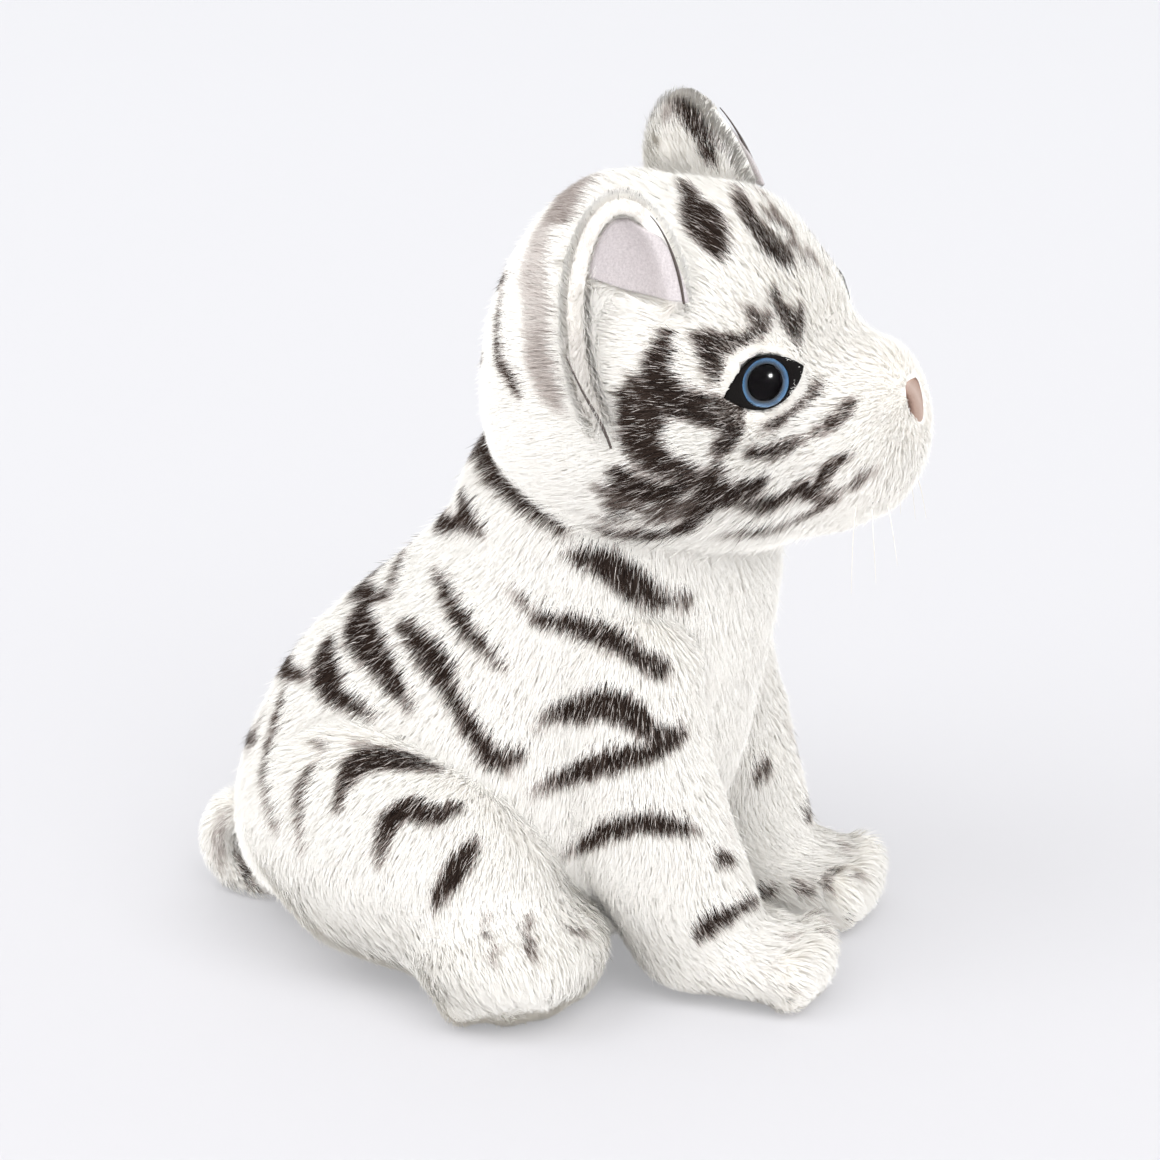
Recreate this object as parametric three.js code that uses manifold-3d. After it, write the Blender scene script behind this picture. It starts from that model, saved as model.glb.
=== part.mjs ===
// A stuffed tiger cub that sits on its seat and hind feet, with its forelegs straight.
// Millimetres, +Z up. It faces -Y, and its left side is +X. The origin is on the floor.
import * as THREE from "three";
import { mergeVertices } from "three/addons/utils/BufferGeometryUtils.js";
import Module from "manifold-3d";

const wasm = await Module();
wasm.setup();

// Fits, cuts and welding
const seamGap = 0.3; // between two sewn pieces that meet
const overrun = 3; // how far a cutter passes what it cuts
const floorCut = 0.5; // how deep a form that rests on the floor is cut flat
const weld = 0.001; // vertices closer than this are one

// The body, a pear that leans forward: wide at the seat, narrow at the neck
const torso = { width: 112, depth: 137, height: 166, centre: -28, seatRound: 22, neckRound: 18 };
// rows: up, forward of the centre, half width, half depth
const torsoShares = [
  [0.0, -0.01, 0.45, 0.43],
  [0.1, -0.018, 0.48, 0.475],
  [0.19, -0.01, 0.5, 0.502],
  [0.29, 0.018, 0.5, 0.51],
  [0.39, 0.062, 0.475, 0.505],
  [0.48, 0.102, 0.45, 0.485],
  [0.57, 0.162, 0.425, 0.45],
  [0.66, 0.228, 0.405, 0.4],
  [0.76, 0.28, 0.39, 0.35],
  [0.86, 0.29, 0.37, 0.31],
  [0.92, 0.29, 0.34, 0.275],
  [1.0, 0.29, 0.3, 0.25],
];

// The head, from the back of the skull to the face
const head = {
  width: 114,
  height: 106,
  length: 113,
  back: -25.5,
  middle: 178,
  skullRound: 45,
  faceRound: 30,
};
const headCentreShare = 0.47; // of its length, from the back
// rows: along the length, up from the middle, half width, half height
const headShares = [
  [0.0, -0.05, 0.47, 0.54],
  [0.2, -0.005, 0.485, 0.525],
  [0.34, 0.0, 0.5, 0.5],
  [0.5, -0.005, 0.5, 0.495],
  [0.66, -0.008, 0.445, 0.482],
  [0.75, -0.03, 0.385, 0.44],
  [0.83, -0.07, 0.33, 0.405],
  [0.93, -0.1, 0.265, 0.37],
  [1.0, -0.1, 0.23, 0.35],
];

// The neck seam: the plane that the head turns on, the line that it turns about, how far it turns
// each way, and the bands and sectors that the room for its turn is measured in
const neck = { lean: 17, depth: 48, turn: 22, clearance: 0.8, bands: 12, sectors: 24 };

// The muzzle, a ball of its own in front of the face, and the chin under it: sizes and places as
// shares of the head's
const muzzleSizeShares = { width: 0.491, height: 0.519, length: 0.416, round: 0.208 };
const muzzlePlaceShares = { along: 0.715, down: 0.122 };
const muzzle = {
  width: head.width * muzzleSizeShares.width,
  height: head.height * muzzleSizeShares.height,
  length: head.length * muzzleSizeShares.length,
  round: head.height * muzzleSizeShares.round,
};
const muzzleShares = [
  [0.0, -0.02, 0.42, 0.43],
  [0.3, -0.01, 0.48, 0.47],
  [0.55, 0.0, 0.5, 0.49],
  [0.8, 0.0, 0.49, 0.52],
  [1.0, 0.0, 0.47, 0.52],
];
const chinSizeShares = { width: 0.298, height: 0.208, length: 0.301, round: 0.113, down: 0.33 };
const chin = {
  width: head.width * chinSizeShares.width,
  height: head.height * chinSizeShares.height,
  length: head.length * chinSizeShares.length,
  round: head.height * chinSizeShares.round,
};
const chinShares = [
  [0.0, 0.0, 0.44, 0.44],
  [0.5, 0.0, 0.5, 0.5],
  [1.0, 0.06, 0.46, 0.44],
];
// The nose lies sunk in the pile. It starts this share along the muzzle, and its corners' share is
// of its width
const nose = { width: 14, height: 13, thickness: 2.4, sunk: 2.4, tilt: 20 };
const noseShares = { up: 0.09, along: 0.62, corner: 0.2 };
const mouthThread = { thickness: 0.9 };
const mouthShares = { top: 0.02, drop: 0.42, curl: 0.3, corner: 0.16 };

// The safety eyes: a clear dome over a ringed disc, on a stem locked by a washer in the stuffing
const eye = { radius: 7, dome: 4.4, disc: 0.8, plate: 1.4, pupilShare: 0.68 };
const eyeStem = { radius: 1.9, length: 12, washerRadius: 6.5, washerThickness: 1.6, washerFromEnd: 2.5 };
const eyeTurn = { fromFront: 50, upward: 12, aboveMiddle: 26, alongShare: 0.795 };
const lid = { length: 27, height: 16, thickness: 1, roll: -10 };

// The ears: furred cups set on the sides of the head, lined with felt near the top
const ear = { width: 36, height: 74, depth: 16, wall: 3.6, lining: 1 };
const earPlace = { sideShare: 0.42, alongShare: 0.47, upShare: 0.3, fromFront: 66, upward: 19 };
const earLiningShare = 0.1;
// the threads beside each rim, between two turns round it in degrees
const earThread = { thickness: 0.9, offset: 0.7, front: [62, 14], back: [190, 238] };

// Forelegs, from the shoulder to the sole, and the paws that stick out in front of them. A leg's
// apartShare is of the body's width, and its forwardShare of the body's depth
const foreleg = { height: 122, thickness: 54, width: 38, apartShare: 0.607, forwardShare: 0.19, round: 20 };
// rows: up, forward, outward, half thickness, half width
const forelegShares = [
  [0.0, 0.155, -0.1, 0.35, 0.5],
  [0.1, 0.15, -0.1, 0.36, 0.5],
  [0.24, 0.1, -0.06, 0.4, 0.49],
  [0.42, 0.03, -0.01, 0.45, 0.48],
  [0.62, -0.005, 0.01, 0.42, 0.46],
  [0.82, -0.015, 0.0, 0.4, 0.44],
  [1.0, -0.015, -0.02, 0.36, 0.4],
];
const forepaw = { length: 52, width: 40, height: 29, reach: 36, round: 18 };
const forepawShares = [
  [0.0, 0.42, 0.46],
  [0.3, 0.47, 0.5],
  [0.65, 0.5, 0.4],
  [1.0, 0.46, 0.28],
];
const toes = { count: 4, radius: 7.5, spreadShare: 0.3, setBackShare: 0.12, riseShare: 0.29 };

// Hind legs: a thigh against the flank, and a broad foot turned outward
const thigh = {
  length: 100,
  height: 72,
  width: 50,
  apartShare: 0.68,
  forwardShare: -0.628,
  turn: 9,
  round: 40,
};
const thighShares = [
  [0.0, 0.66, 0.4, 0.38],
  [0.3, 0.61, 0.48, 0.48],
  [0.6, 0.52, 0.48, 0.47],
  [1.0, 0.38, 0.42, 0.34],
];
const foot = {
  length: 58,
  width: 56,
  height: 44,
  apartShare: 0.911,
  forwardShare: -0.073,
  turn: 48,
  round: 27,
};
const footShares = [
  [0.0, 0.42, 0.42],
  [0.35, 0.5, 0.5],
  [0.7, 0.5, 0.48],
  [1.0, 0.46, 0.42],
];
const footToes = { count: 4, radius: 9.5, spreadShare: 0.3, setBackShare: 0.16, riseShare: 0.38 };

// The tail, which curls down behind the seat and in under it, and how far it lifts
const tail = {
  thickness: 13,
  tipShare: 0.82,
  rootUp: 26,
  rootSink: 3,
  lift: 56,
  liftSteps: 9,
  clearance: 0.8,
};
// rows: backward, up, sideways, as shares of the thickness
const tailRouteShares = [
  [0.0, 0.0, 0.0],
  [0.5, -0.25, 0.1],
  [0.75, -0.85, 0.1],
  [0.5, -1.45, -0.05],
  [-0.1, -1.7, -0.22],
  [-0.8, -1.76, -0.3],
];

// Whiskers: fine nylon, hanging from the muzzle. Each root is a step further along it and a few
// degrees lower than the one before, and each whisker a share shorter
const whisker = { thickness: 0.5, length: 25, countEachSide: 3, below: 32, belowStep: 9 };
const whiskerShares = { along: 0.74, alongStep: 0.07, shorter: 0.18 };
// how far along its length it runs out, bends in, falls and drifts forward
const whiskerBendShares = { out: 0.42, in: 0.16, fall: 0.8, lean: 0.1, ahead: 0.12 };

// Facets
const facets = {
  torso: [20, 26],
  head: [20, 26],
  muzzle: [9, 20],
  limb: [11, 16],
  paw: [8, 14],
  toe: 10,
  tail: [13, 10],
};

const degrees = THREE.MathUtils.degToRad;
const at = (side, forward, up) => new THREE.Vector3(side, -forward, up);
const SIDE = at(1, 0, 0);
const FORWARD = at(0, 1, 0);
const UP = at(0, 0, 1);

// Materials
function material(color, roughness, metalness = 0) {
  return new THREE.MeshStandardMaterial({ color, roughness, metalness });
}
const whiteFur = material(0xf1efea, 0.95);
const earFelt = material(0xd6cfd4, 0.9);
const noseFelt = material(0xb99a97, 0.8);
const darkThread = material(0x2b2322, 0.8);
const blackLid = material(0x0d0c0e, 0.45);
const blackPlastic = material(0x0b0b0d, 0.2);
const bluePaint = material(0x2f6ca8, 0.3);
const clearPlastic = material(0xe8eef2, 0.05);
const whitePlastic = material(0xd9d6cf, 0.5);
const nylon = material(0xdcd5cc, 0.35);

// From a three.js geometry to a solid, and back to a named mesh
function solidOf(geometry) {
  const bare = geometry.clone();
  bare.deleteAttribute("normal");
  bare.deleteAttribute("uv");
  const merged = mergeVertices(bare, weld);
  const index = merged.index.array;
  const kept = [];
  for (let i = 0; i < index.length; i += 3) {
    const [a, b, c] = [index[i], index[i + 1], index[i + 2]];
    if (a !== b && b !== c && c !== a) kept.push(a, b, c);
  }
  const vertProperties = new Float32Array(merged.attributes.position.array);
  return new wasm.Manifold(new wasm.Mesh({ numProp: 3, vertProperties, triVerts: new Uint32Array(kept) }));
}

function meshOf(name, solid, finish) {
  const { vertProperties, triVerts } = solid.getMesh();
  const geometry = new THREE.BufferGeometry();
  geometry.setAttribute("position", new THREE.BufferAttribute(new Float32Array(vertProperties), 3));
  geometry.setIndex(new THREE.BufferAttribute(new Uint32Array(triVerts), 1));
  geometry.computeVertexNormals();
  const mesh = new THREE.Mesh(geometry, finish);
  mesh.name = name;
  return mesh;
}

// A smooth curve through the rows of a table, read at a place in its first column
function through(rows, column, place) {
  const last = rows.length - 1;
  let i = 0;
  while (i < last - 1 && place > rows[i + 1][0]) i += 1;
  const [p0, p1] = [rows[i], rows[i + 1]];
  const slope = (a, b) => (rows[b][column] - rows[a][column]) / (rows[b][0] - rows[a][0]);
  const span = p1[0] - p0[0];
  const enter = slope(Math.max(i - 1, 0), i + 1) * span;
  const leave = slope(i, Math.min(i + 2, last)) * span;
  const t = THREE.MathUtils.clamp((place - p0[0]) / span, 0, 1);
  const [t2, t3] = [t * t, t * t * t];
  const ends = (2 * t3 - 3 * t2 + 1) * p0[column] + (3 * t2 - 2 * t3) * p1[column];
  return ends + (t3 - 2 * t2 + t) * enter + (t3 - t2) * leave;
}

// How far a form has swelled to its full girth, this far in from an end that is drawn in round
function swell(fromEnd, round) {
  const left = 1 - THREE.MathUtils.clamp(fromEnd / round, 0, 1);
  return Math.sqrt(1 - left * left);
}

// A closed skin of oval rings between two end points
function skinOf(rings, first, last) {
  const sides = rings[0].length;
  const points = [first, ...rings.flat(), last];
  const index = [];
  const vertex = (ring, side) => 1 + ring * sides + (side % sides);
  for (let s = 0; s < sides; s += 1) {
    index.push(0, vertex(0, s + 1), vertex(0, s));
    index.push(points.length - 1, vertex(rings.length - 1, s), vertex(rings.length - 1, s + 1));
    for (let r = 0; r < rings.length - 1; r += 1) {
      index.push(vertex(r, s), vertex(r, s + 1), vertex(r + 1, s + 1));
      index.push(vertex(r, s), vertex(r + 1, s + 1), vertex(r + 1, s));
    }
  }
  const geometry = new THREE.BufferGeometry().setFromPoints(points);
  geometry.setIndex(index);
  return geometry;
}

// A form of ovals stacked along a straight line: rows of place, shift, half across, half tall
class StackedForm {
  constructor({ rows, origin, along, across, tall, startRound, endRound, facets: [ringCount, sides] }) {
    Object.assign(this, { rows, origin, along, across, tall, startRound, endRound, ringCount, sides });
    this.start = rows[0][0];
    this.end = rows[rows.length - 1][0];
  }

  oval(place, grow = 0) {
    const rise = swell(place - this.start + grow, this.startRound + grow);
    const fall = swell(this.end + grow - place, this.endRound + grow);
    const inside = THREE.MathUtils.clamp(place, this.start, this.end);
    return {
      shift: through(this.rows, 1, inside),
      across: (through(this.rows, 2, inside) + grow) * rise * fall,
      tall: (through(this.rows, 3, inside) + grow) * rise * fall,
    };
  }

  point(place, angle, grow = 0) {
    const oval = this.oval(place, grow);
    return this.origin
      .clone()
      .addScaledVector(this.along, place)
      .addScaledVector(this.across, oval.across * Math.cos(angle))
      .addScaledVector(this.tall, oval.shift + oval.tall * Math.sin(angle));
  }

  holds(point, grow = 0) {
    const from = point.clone().sub(this.origin);
    const place = from.dot(this.along);
    if (place <= this.start - grow || place >= this.end + grow) return false;
    const oval = this.oval(place, grow);
    const across = from.dot(this.across) / oval.across;
    const tall = (from.dot(this.tall) - oval.shift) / oval.tall;
    return across * across + tall * tall < 1;
  }

  solid(grow = 0) {
    const [start, end] = [this.start - grow, this.end + grow];
    const rings = [];
    for (let r = 1; r < this.ringCount; r += 1) {
      const place = start + ((end - start) * (1 - Math.cos((Math.PI * r) / this.ringCount))) / 2;
      const ring = [];
      for (let s = 0; s < this.sides; s += 1) {
        ring.push(this.point(place, (2 * Math.PI * s) / this.sides, grow));
      }
      rings.push(ring);
    }
    const pole = (place) => this.point(place, 0, grow);
    const geometry = skinOf(rings, pole(start), pole(end));
    const faced = this.across.clone().cross(this.tall).dot(this.along) > 0;
    return solidOf(faced ? geometry : insideOut(geometry));
  }
}

function insideOut(geometry) {
  const index = geometry.index.array;
  for (let i = 0; i < index.length; i += 3) [index[i], index[i + 1]] = [index[i + 1], index[i]];
  return geometry;
}

// A limb of ovals square to a bent spine: stations of point, half across, half tall
function limbSolid({ stations, acrossHint, startRound, endRound, facets: [ringCount, sides] }, grow = 0) {
  const spine = new THREE.CatmullRomCurve3(stations.map((station) => station.point));
  const girth = new THREE.CatmullRomCurve3(
    stations.map((station) => new THREE.Vector3(station.across, station.tall, 0)),
  );
  const total = spine.getLength();
  const rings = [];
  for (let r = 0; r <= ringCount; r += 1) {
    const share = (1 - Math.cos((Math.PI * r) / ringCount)) / 2;
    const t = spine.getUtoTmapping(share);
    const place = share * total;
    const full = girth.getPoint(t);
    const forward = spine.getTangent(t);
    const across = acrossHint.clone().addScaledVector(forward, -acrossHint.dot(forward)).normalize();
    const tall = forward.clone().cross(across);
    const drawn = swell(place + grow, startRound + grow) * swell(total - place + grow, endRound + grow);
    const ring = [];
    for (let s = 0; s < sides; s += 1) {
      const angle = (2 * Math.PI * s) / sides;
      ring.push(
        spine
          .getPoint(t)
          .addScaledVector(across, (full.x + grow) * drawn * Math.cos(angle))
          .addScaledVector(tall, (full.y + grow) * drawn * Math.sin(angle)),
      );
    }
    rings.push(ring);
  }
  const first = spine.getPoint(0).addScaledVector(spine.getTangent(0), -grow);
  const last = spine.getPoint(1).addScaledVector(spine.getTangent(1), grow);
  const inner = grow > 0 ? rings : rings.slice(1, -1);
  return solidOf(skinOf(inner, first, last));
}

function ballSolid(centre, halves, segments = 20) {
  const geometry = new THREE.SphereGeometry(1, segments, segments / 2);
  geometry.scale(halves.x, halves.y, halves.z);
  geometry.translate(centre.x, centre.y, centre.z);
  return solidOf(geometry);
}

function tubeSolid(points, radius, sides, steps) {
  const round = new THREE.Shape();
  for (let s = 0; s < sides; s += 1) {
    const angle = (2 * Math.PI * s) / sides;
    const [x, y] = [radius * Math.cos(angle), radius * Math.sin(angle)];
    if (s === 0) round.moveTo(x, y);
    else round.lineTo(x, y);
  }
  const extrudePath = new THREE.CatmullRomCurve3(points);
  return solidOf(new THREE.ExtrudeGeometry(round, { steps, extrudePath, bevelEnabled: false }));
}

function turnedSolid(profile, segments = 24) {
  return solidOf(new THREE.LatheGeometry(profile.map(([r, y]) => new THREE.Vector2(r, y)), segments));
}

// A cylinder on the Y axis, from one height to another
function discSolid(radius, bottom, top, hole = 0) {
  if (hole === 0) return turnedSolid([[0, bottom], [radius, bottom], [radius, top], [0, top]]);
  return turnedSolid([[hole, bottom], [radius, bottom], [radius, top], [hole, top], [hole, bottom]]);
}

// Everything above the floor, over a patch that is wide enough for any piece
const reach = 3 * torso.depth;
function aboveFloor(solid) {
  const slab = new THREE.BoxGeometry(reach, reach, reach);
  slab.translate(0, 0, -reach / 2);
  return solid.subtract(solidOf(slab));
}

function frameOf(xAxis, yAxis, zAxis, origin) {
  return new THREE.Matrix4().makeBasis(xAxis, yAxis, zAxis).setPosition(origin);
}

function moved(solid, frame) {
  return solid.transform(frame.toArray());
}

// A solid turned round a line through a point, in degrees
function turnedAbout(solid, point, line, angle) {
  const there = new THREE.Matrix4().makeTranslation(point);
  const back = new THREE.Matrix4().makeTranslation(point.clone().negate());
  const turn = new THREE.Matrix4().makeRotationAxis(line, degrees(angle));
  return moved(solid, there.multiply(turn).multiply(back));
}

// A placed group, for pieces that are turned on an axis of their own
function groupAt(frame) {
  const group = new THREE.Group();
  frame.decompose(group.position, group.quaternion, group.scale);
  return group;
}

// Rows of shares times the sizes that they are shares of
const scaled = (rows, ...sizes) => rows.map((row) => row.map((share, i) => share * sizes[i]));

// Body
const torsoForm = new StackedForm({
  rows: scaled(torsoShares, torso.height, torso.depth, torso.width, torso.depth),
  origin: at(0, torso.centre, -floorCut),
  along: UP,
  across: SIDE,
  tall: FORWARD,
  startRound: torso.seatRound,
  endRound: torso.neckRound,
  facets: facets.torso,
});

// Head
const headForm = new StackedForm({
  rows: scaled(headShares, head.length, head.height, head.width, head.height),
  origin: at(0, head.back, head.middle),
  along: FORWARD,
  across: SIDE,
  tall: UP,
  startRound: head.skullRound,
  endRound: head.faceRound,
  facets: facets.head,
});
const headCentre = at(0, head.back + head.length * headCentreShare, head.middle);
const neckAxis = at(0, Math.sin(degrees(neck.lean)), Math.cos(degrees(neck.lean)));

const muzzleBack = head.back + head.length * muzzlePlaceShares.along;
const muzzleForm = new StackedForm({
  rows: scaled(muzzleShares, muzzle.length, muzzle.height, muzzle.width, muzzle.height),
  origin: at(0, muzzleBack, head.middle - head.height * muzzlePlaceShares.down),
  along: FORWARD,
  across: SIDE,
  tall: UP,
  startRound: muzzle.round,
  endRound: muzzle.round,
  facets: facets.muzzle,
});
const chinForm = new StackedForm({
  rows: scaled(chinShares, chin.length, chin.height, chin.width, chin.height),
  origin: at(0, muzzleBack, head.middle - head.height * chinSizeShares.down),
  along: FORWARD,
  across: SIDE,
  tall: UP,
  startRound: chin.round,
  endRound: chin.round,
  facets: facets.paw,
});

// The space that the head and what it carries pass through as the head turns: rings round the
// neck's line, each as wide in every direction as the widest thing that comes there
function turningSpace(forms, clearance) {
  const top = head.height / 2;
  const band = (top + neck.depth) / neck.bands;
  const sector = (2 * Math.PI) / neck.sectors;
  const reachOver = Math.ceil(degrees(neck.turn) / sector);
  const heights = Array.from({ length: neck.bands + 1 }, (_, b) => b * band - neck.depth);
  const widest = heights.map(() => new Array(neck.sectors).fill(0));
  const behind = SIDE.clone().cross(neckAxis);
  const places = 60;
  const widen = (point) => {
    const from = point.sub(headCentre);
    const up = from.dot(neckAxis);
    const [x, y] = [from.dot(SIDE), from.dot(behind)];
    const near = Math.round(Math.atan2(y, x) / sector);
    heights.forEach((height, b) => {
      if (Math.abs(up - height) > band) return;
      for (let s = near - reachOver; s <= near + reachOver; s += 1) {
        const slot = (s + neck.sectors) % neck.sectors;
        widest[b][slot] = Math.max(widest[b][slot], Math.hypot(x, y));
      }
    });
  };
  for (const form of forms) {
    for (let p = 0; p <= places; p += 1) {
      const place = form.start + ((form.end - form.start) * p) / places;
      for (let s = 0; s < places; s += 1) widen(form.point(place, (2 * Math.PI * s) / places));
    }
  }
  const ringAt = (height, radii) =>
    radii.map((radius, s) =>
      headCentre
        .clone()
        .addScaledVector(neckAxis, height)
        .addScaledVector(SIDE, (radius + clearance) * Math.cos(s * sector))
        .addScaledVector(behind, (radius + clearance) * Math.sin(s * sector)),
    );
  const rings = heights.map((height, b) => ringAt(b === 0 ? height - seamGap : height, widest[b]));
  const pole = (height) => headCentre.clone().addScaledVector(neckAxis, height);
  return solidOf(insideOut(skinOf(rings, pole(-neck.depth - seamGap), pole(top))));
}

// Everything under the neck seam
function belowNeck() {
  const slab = new THREE.BoxGeometry(reach, reach, reach);
  slab.translate(0, -neck.depth - reach / 2, 0);
  return moved(solidOf(slab), frameOf(SIDE, neckAxis, SIDE.clone().cross(neckAxis), headCentre));
}

// Eyes: the frame of the right or left one, with Y out of the head
function eyeFrame(side) {
  const angle = degrees(eyeTurn.aboveMiddle);
  const centre = headForm.point(head.length * eyeTurn.alongShare, side > 0 ? angle : Math.PI - angle);
  const [turn, lift] = [degrees(eyeTurn.fromFront), degrees(eyeTurn.upward)];
  const out = at(side * Math.sin(turn) * Math.cos(lift), Math.cos(turn) * Math.cos(lift), Math.sin(lift));
  const up = UP.clone().addScaledVector(out, -UP.dot(out)).normalize();
  return frameOf(out.clone().cross(up), out, up, centre);
}

const eyeSink = eye.radius / 6;
const discTop = -seamGap - eyeSink;
const plateTop = discTop - eye.disc - seamGap;
const stemEnd = plateTop - eye.plate - eyeStem.length;
const washerTop = stemEnd + eyeStem.washerFromEnd + eyeStem.washerThickness;

function eyeSocket(frame) {
  const wide = eye.radius + seamGap;
  const washerWide = eyeStem.washerRadius + seamGap;
  const profile = [
    [0, eye.radius],
    [wide, eye.radius],
    [wide, plateTop - eye.plate - seamGap],
    [eyeStem.radius + seamGap, plateTop - eye.plate - seamGap],
    [eyeStem.radius + seamGap, washerTop + seamGap],
    [washerWide, washerTop + seamGap],
    [washerWide, stemEnd - seamGap],
    [0, stemEnd - seamGap],
  ];
  return moved(turnedSolid(profile.reverse()), frame);
}

function eyeGroup(side, word) {
  const group = groupAt(eyeFrame(side));
  const pupil = eye.radius * eye.pupilShare;
  const dome = [[0, -eyeSink]];
  const steps = 6;
  for (let i = 0; i <= steps; i += 1) {
    const angle = (Math.PI / 2) * (i / steps);
    dome.push([eye.radius * Math.cos(angle), eye.dome * Math.sin(angle) - eyeSink]);
  }
  dome[dome.length - 1][0] = 0;
  group.add(meshOf(`eye_dome_${word}`, turnedSolid(dome), clearPlastic));
  const [top, bottom] = [discTop, discTop - eye.disc];
  group.add(meshOf(`eye_iris_${word}`, discSolid(eye.radius, bottom, top, pupil + seamGap), bluePaint));
  group.add(meshOf(`eye_pupil_${word}`, discSolid(pupil, bottom, top), blackPlastic));
  const stem = [
    [0, stemEnd],
    [eyeStem.radius, stemEnd],
    [eyeStem.radius, plateTop - eye.plate],
    [eye.radius, plateTop - eye.plate],
    [eye.radius, plateTop],
    [0, plateTop],
  ];
  group.add(meshOf(`eye_stem_${word}`, turnedSolid(stem), blackPlastic));
  const washer = discSolid(
    eyeStem.washerRadius,
    washerTop - eyeStem.washerThickness,
    washerTop,
    eyeStem.radius + seamGap,
  );
  group.add(meshOf(`eye_washer_${word}`, washer, whitePlastic));
  return group;
}

// The almond of dark cloth under each eye, bent to the face
function lidSolid(side) {
  const [half, rise] = [lid.length / 2, lid.height];
  const almond = new THREE.Shape();
  almond.moveTo(-half, 0);
  almond.quadraticCurveTo(0, rise, half, 0);
  almond.quadraticCurveTo(0, -rise, -half, 0);
  const depth = 2 * eye.radius;
  const prism = new THREE.ExtrudeGeometry(almond, { depth, bevelEnabled: false, curveSegments: 12 });
  prism.translate(0, 0, -depth / 2);
  prism.rotateZ(side * degrees(lid.roll));
  prism.rotateX(-Math.PI / 2);
  const hole = discSolid(eye.radius + seamGap, -depth, depth);
  const cover = headForm.solid(seamGap + lid.thickness).subtract(headForm.solid(seamGap));
  return moved(solidOf(prism).subtract(hole), eyeFrame(side)).intersect(cover);
}

// Ears: the frame of one cup, with Y out of its mouth and Z toward its tip
function earFrame(side) {
  const [turn, lift] = [degrees(earPlace.fromFront), degrees(earPlace.upward)];
  const out = at(side * Math.sin(turn) * Math.cos(lift), Math.cos(turn) * Math.cos(lift), Math.sin(lift));
  const tip = UP.clone().addScaledVector(out, -UP.dot(out)).normalize();
  const centre = at(
    side * head.width * earPlace.sideShare,
    head.back + head.length * earPlace.alongShare,
    head.middle + head.height * earPlace.upShare,
  );
  return frameOf(out.clone().cross(tip), out, tip, centre);
}

function halfBall(inset, top) {
  const [wide, deep, high] = [ear.width / 2 - inset, ear.depth - inset, ear.height / 2 - inset];
  const ball = ballSolid(at(0, 0, 0), new THREE.Vector3(wide, deep, high), 24);
  const lidBox = new THREE.BoxGeometry(reach, reach, reach);
  lidBox.translate(0, top + reach / 2, 0);
  return ball.subtract(solidOf(lidBox));
}

function earSolids(side) {
  const frame = earFrame(side);
  const around = headForm.solid(seamGap);
  const hollow = halfBall(ear.wall, overrun).add(openedMouth(ear.wall));
  const cup = moved(halfBall(0, 0).subtract(hollow), frame).subtract(around);
  const lined = halfBall(ear.wall + seamGap, -ear.wall).subtract(
    halfBall(ear.wall + seamGap + ear.lining, overrun),
  );
  const below = new THREE.BoxGeometry(reach, reach, reach);
  below.translate(0, 0, earLiningShare * ear.height - reach / 2);
  const lining = moved(lined.subtract(solidOf(below)), frame).subtract(around);
  return { cup, lining };
}

// The mouth of a cup, opened past its rim
function openedMouth(inset) {
  const disc = new THREE.CylinderGeometry(1, 1, overrun, 24);
  disc.scale(ear.width / 2 - inset, 1, ear.height / 2 - inset);
  disc.translate(0, overrun / 2, 0);
  return solidOf(disc);
}

// A thread that lies on the head beside the rim of an ear, between two turns round the rim
function earThreadSolid(side, [from, to]) {
  const frame = earFrame(side);
  const out = new THREE.Vector3().setFromMatrixColumn(frame, 1);
  const lift = seamGap + earThread.thickness / 2;
  const beside = earThread.offset + lift;
  const points = [];
  const stops = 8;
  for (let i = 0; i <= stops; i += 1) {
    const angle = degrees(from + ((to - from) * i) / stops);
    const [across, along] = [ear.width / 2 + beside, ear.height / 2 + beside];
    const rim = new THREE.Vector3(side * across * Math.cos(angle), 0, along * Math.sin(angle));
    const start = rim.applyMatrix4(frame).addScaledVector(out, ear.depth);
    let [outer, inner] = [0, 3 * ear.depth];
    for (let halving = 0; halving < 24; halving += 1) {
      const middle = (outer + inner) / 2;
      if (headForm.holds(start.clone().addScaledVector(out, -middle), lift)) inner = middle;
      else outer = middle;
    }
    points.push(start.addScaledVector(out, -outer));
  }
  return tubeSolid(points, earThread.thickness / 2, 6, 16);
}

// Nose: a soft triangle with round corners, set into a recess of the muzzle
function noseBlock(grow) {
  const [half, tall] = [nose.width / 2 + grow, nose.height + 2 * grow];
  const corner = nose.width * noseShares.corner;
  const face = new THREE.Shape();
  face.moveTo(-half, tall / 2 - corner);
  face.quadraticCurveTo(-half, tall / 2, -half + corner, tall / 2);
  face.lineTo(half - corner, tall / 2);
  face.quadraticCurveTo(half, tall / 2, half, tall / 2 - corner);
  face.quadraticCurveTo(half / 2, -tall / 4, corner / 2, -tall / 2);
  face.lineTo(-corner / 2, -tall / 2);
  face.quadraticCurveTo(-half / 2, -tall / 4, -half, tall / 2 - corner);
  const depth = 2 * muzzle.round;
  const prism = new THREE.ExtrudeGeometry(face, { depth, bevelEnabled: false, curveSegments: 6 });
  const tilt = degrees(nose.tilt);
  const out = at(0, Math.cos(tilt), Math.sin(tilt));
  const up = at(0, -Math.sin(tilt), Math.cos(tilt));
  const centre = muzzleForm.origin
    .clone()
    .addScaledVector(FORWARD, muzzle.length * noseShares.along)
    .addScaledVector(UP, muzzle.height * noseShares.up);
  return moved(solidOf(prism), frameOf(SIDE.clone().negate(), up, out, centre));
}

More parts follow.
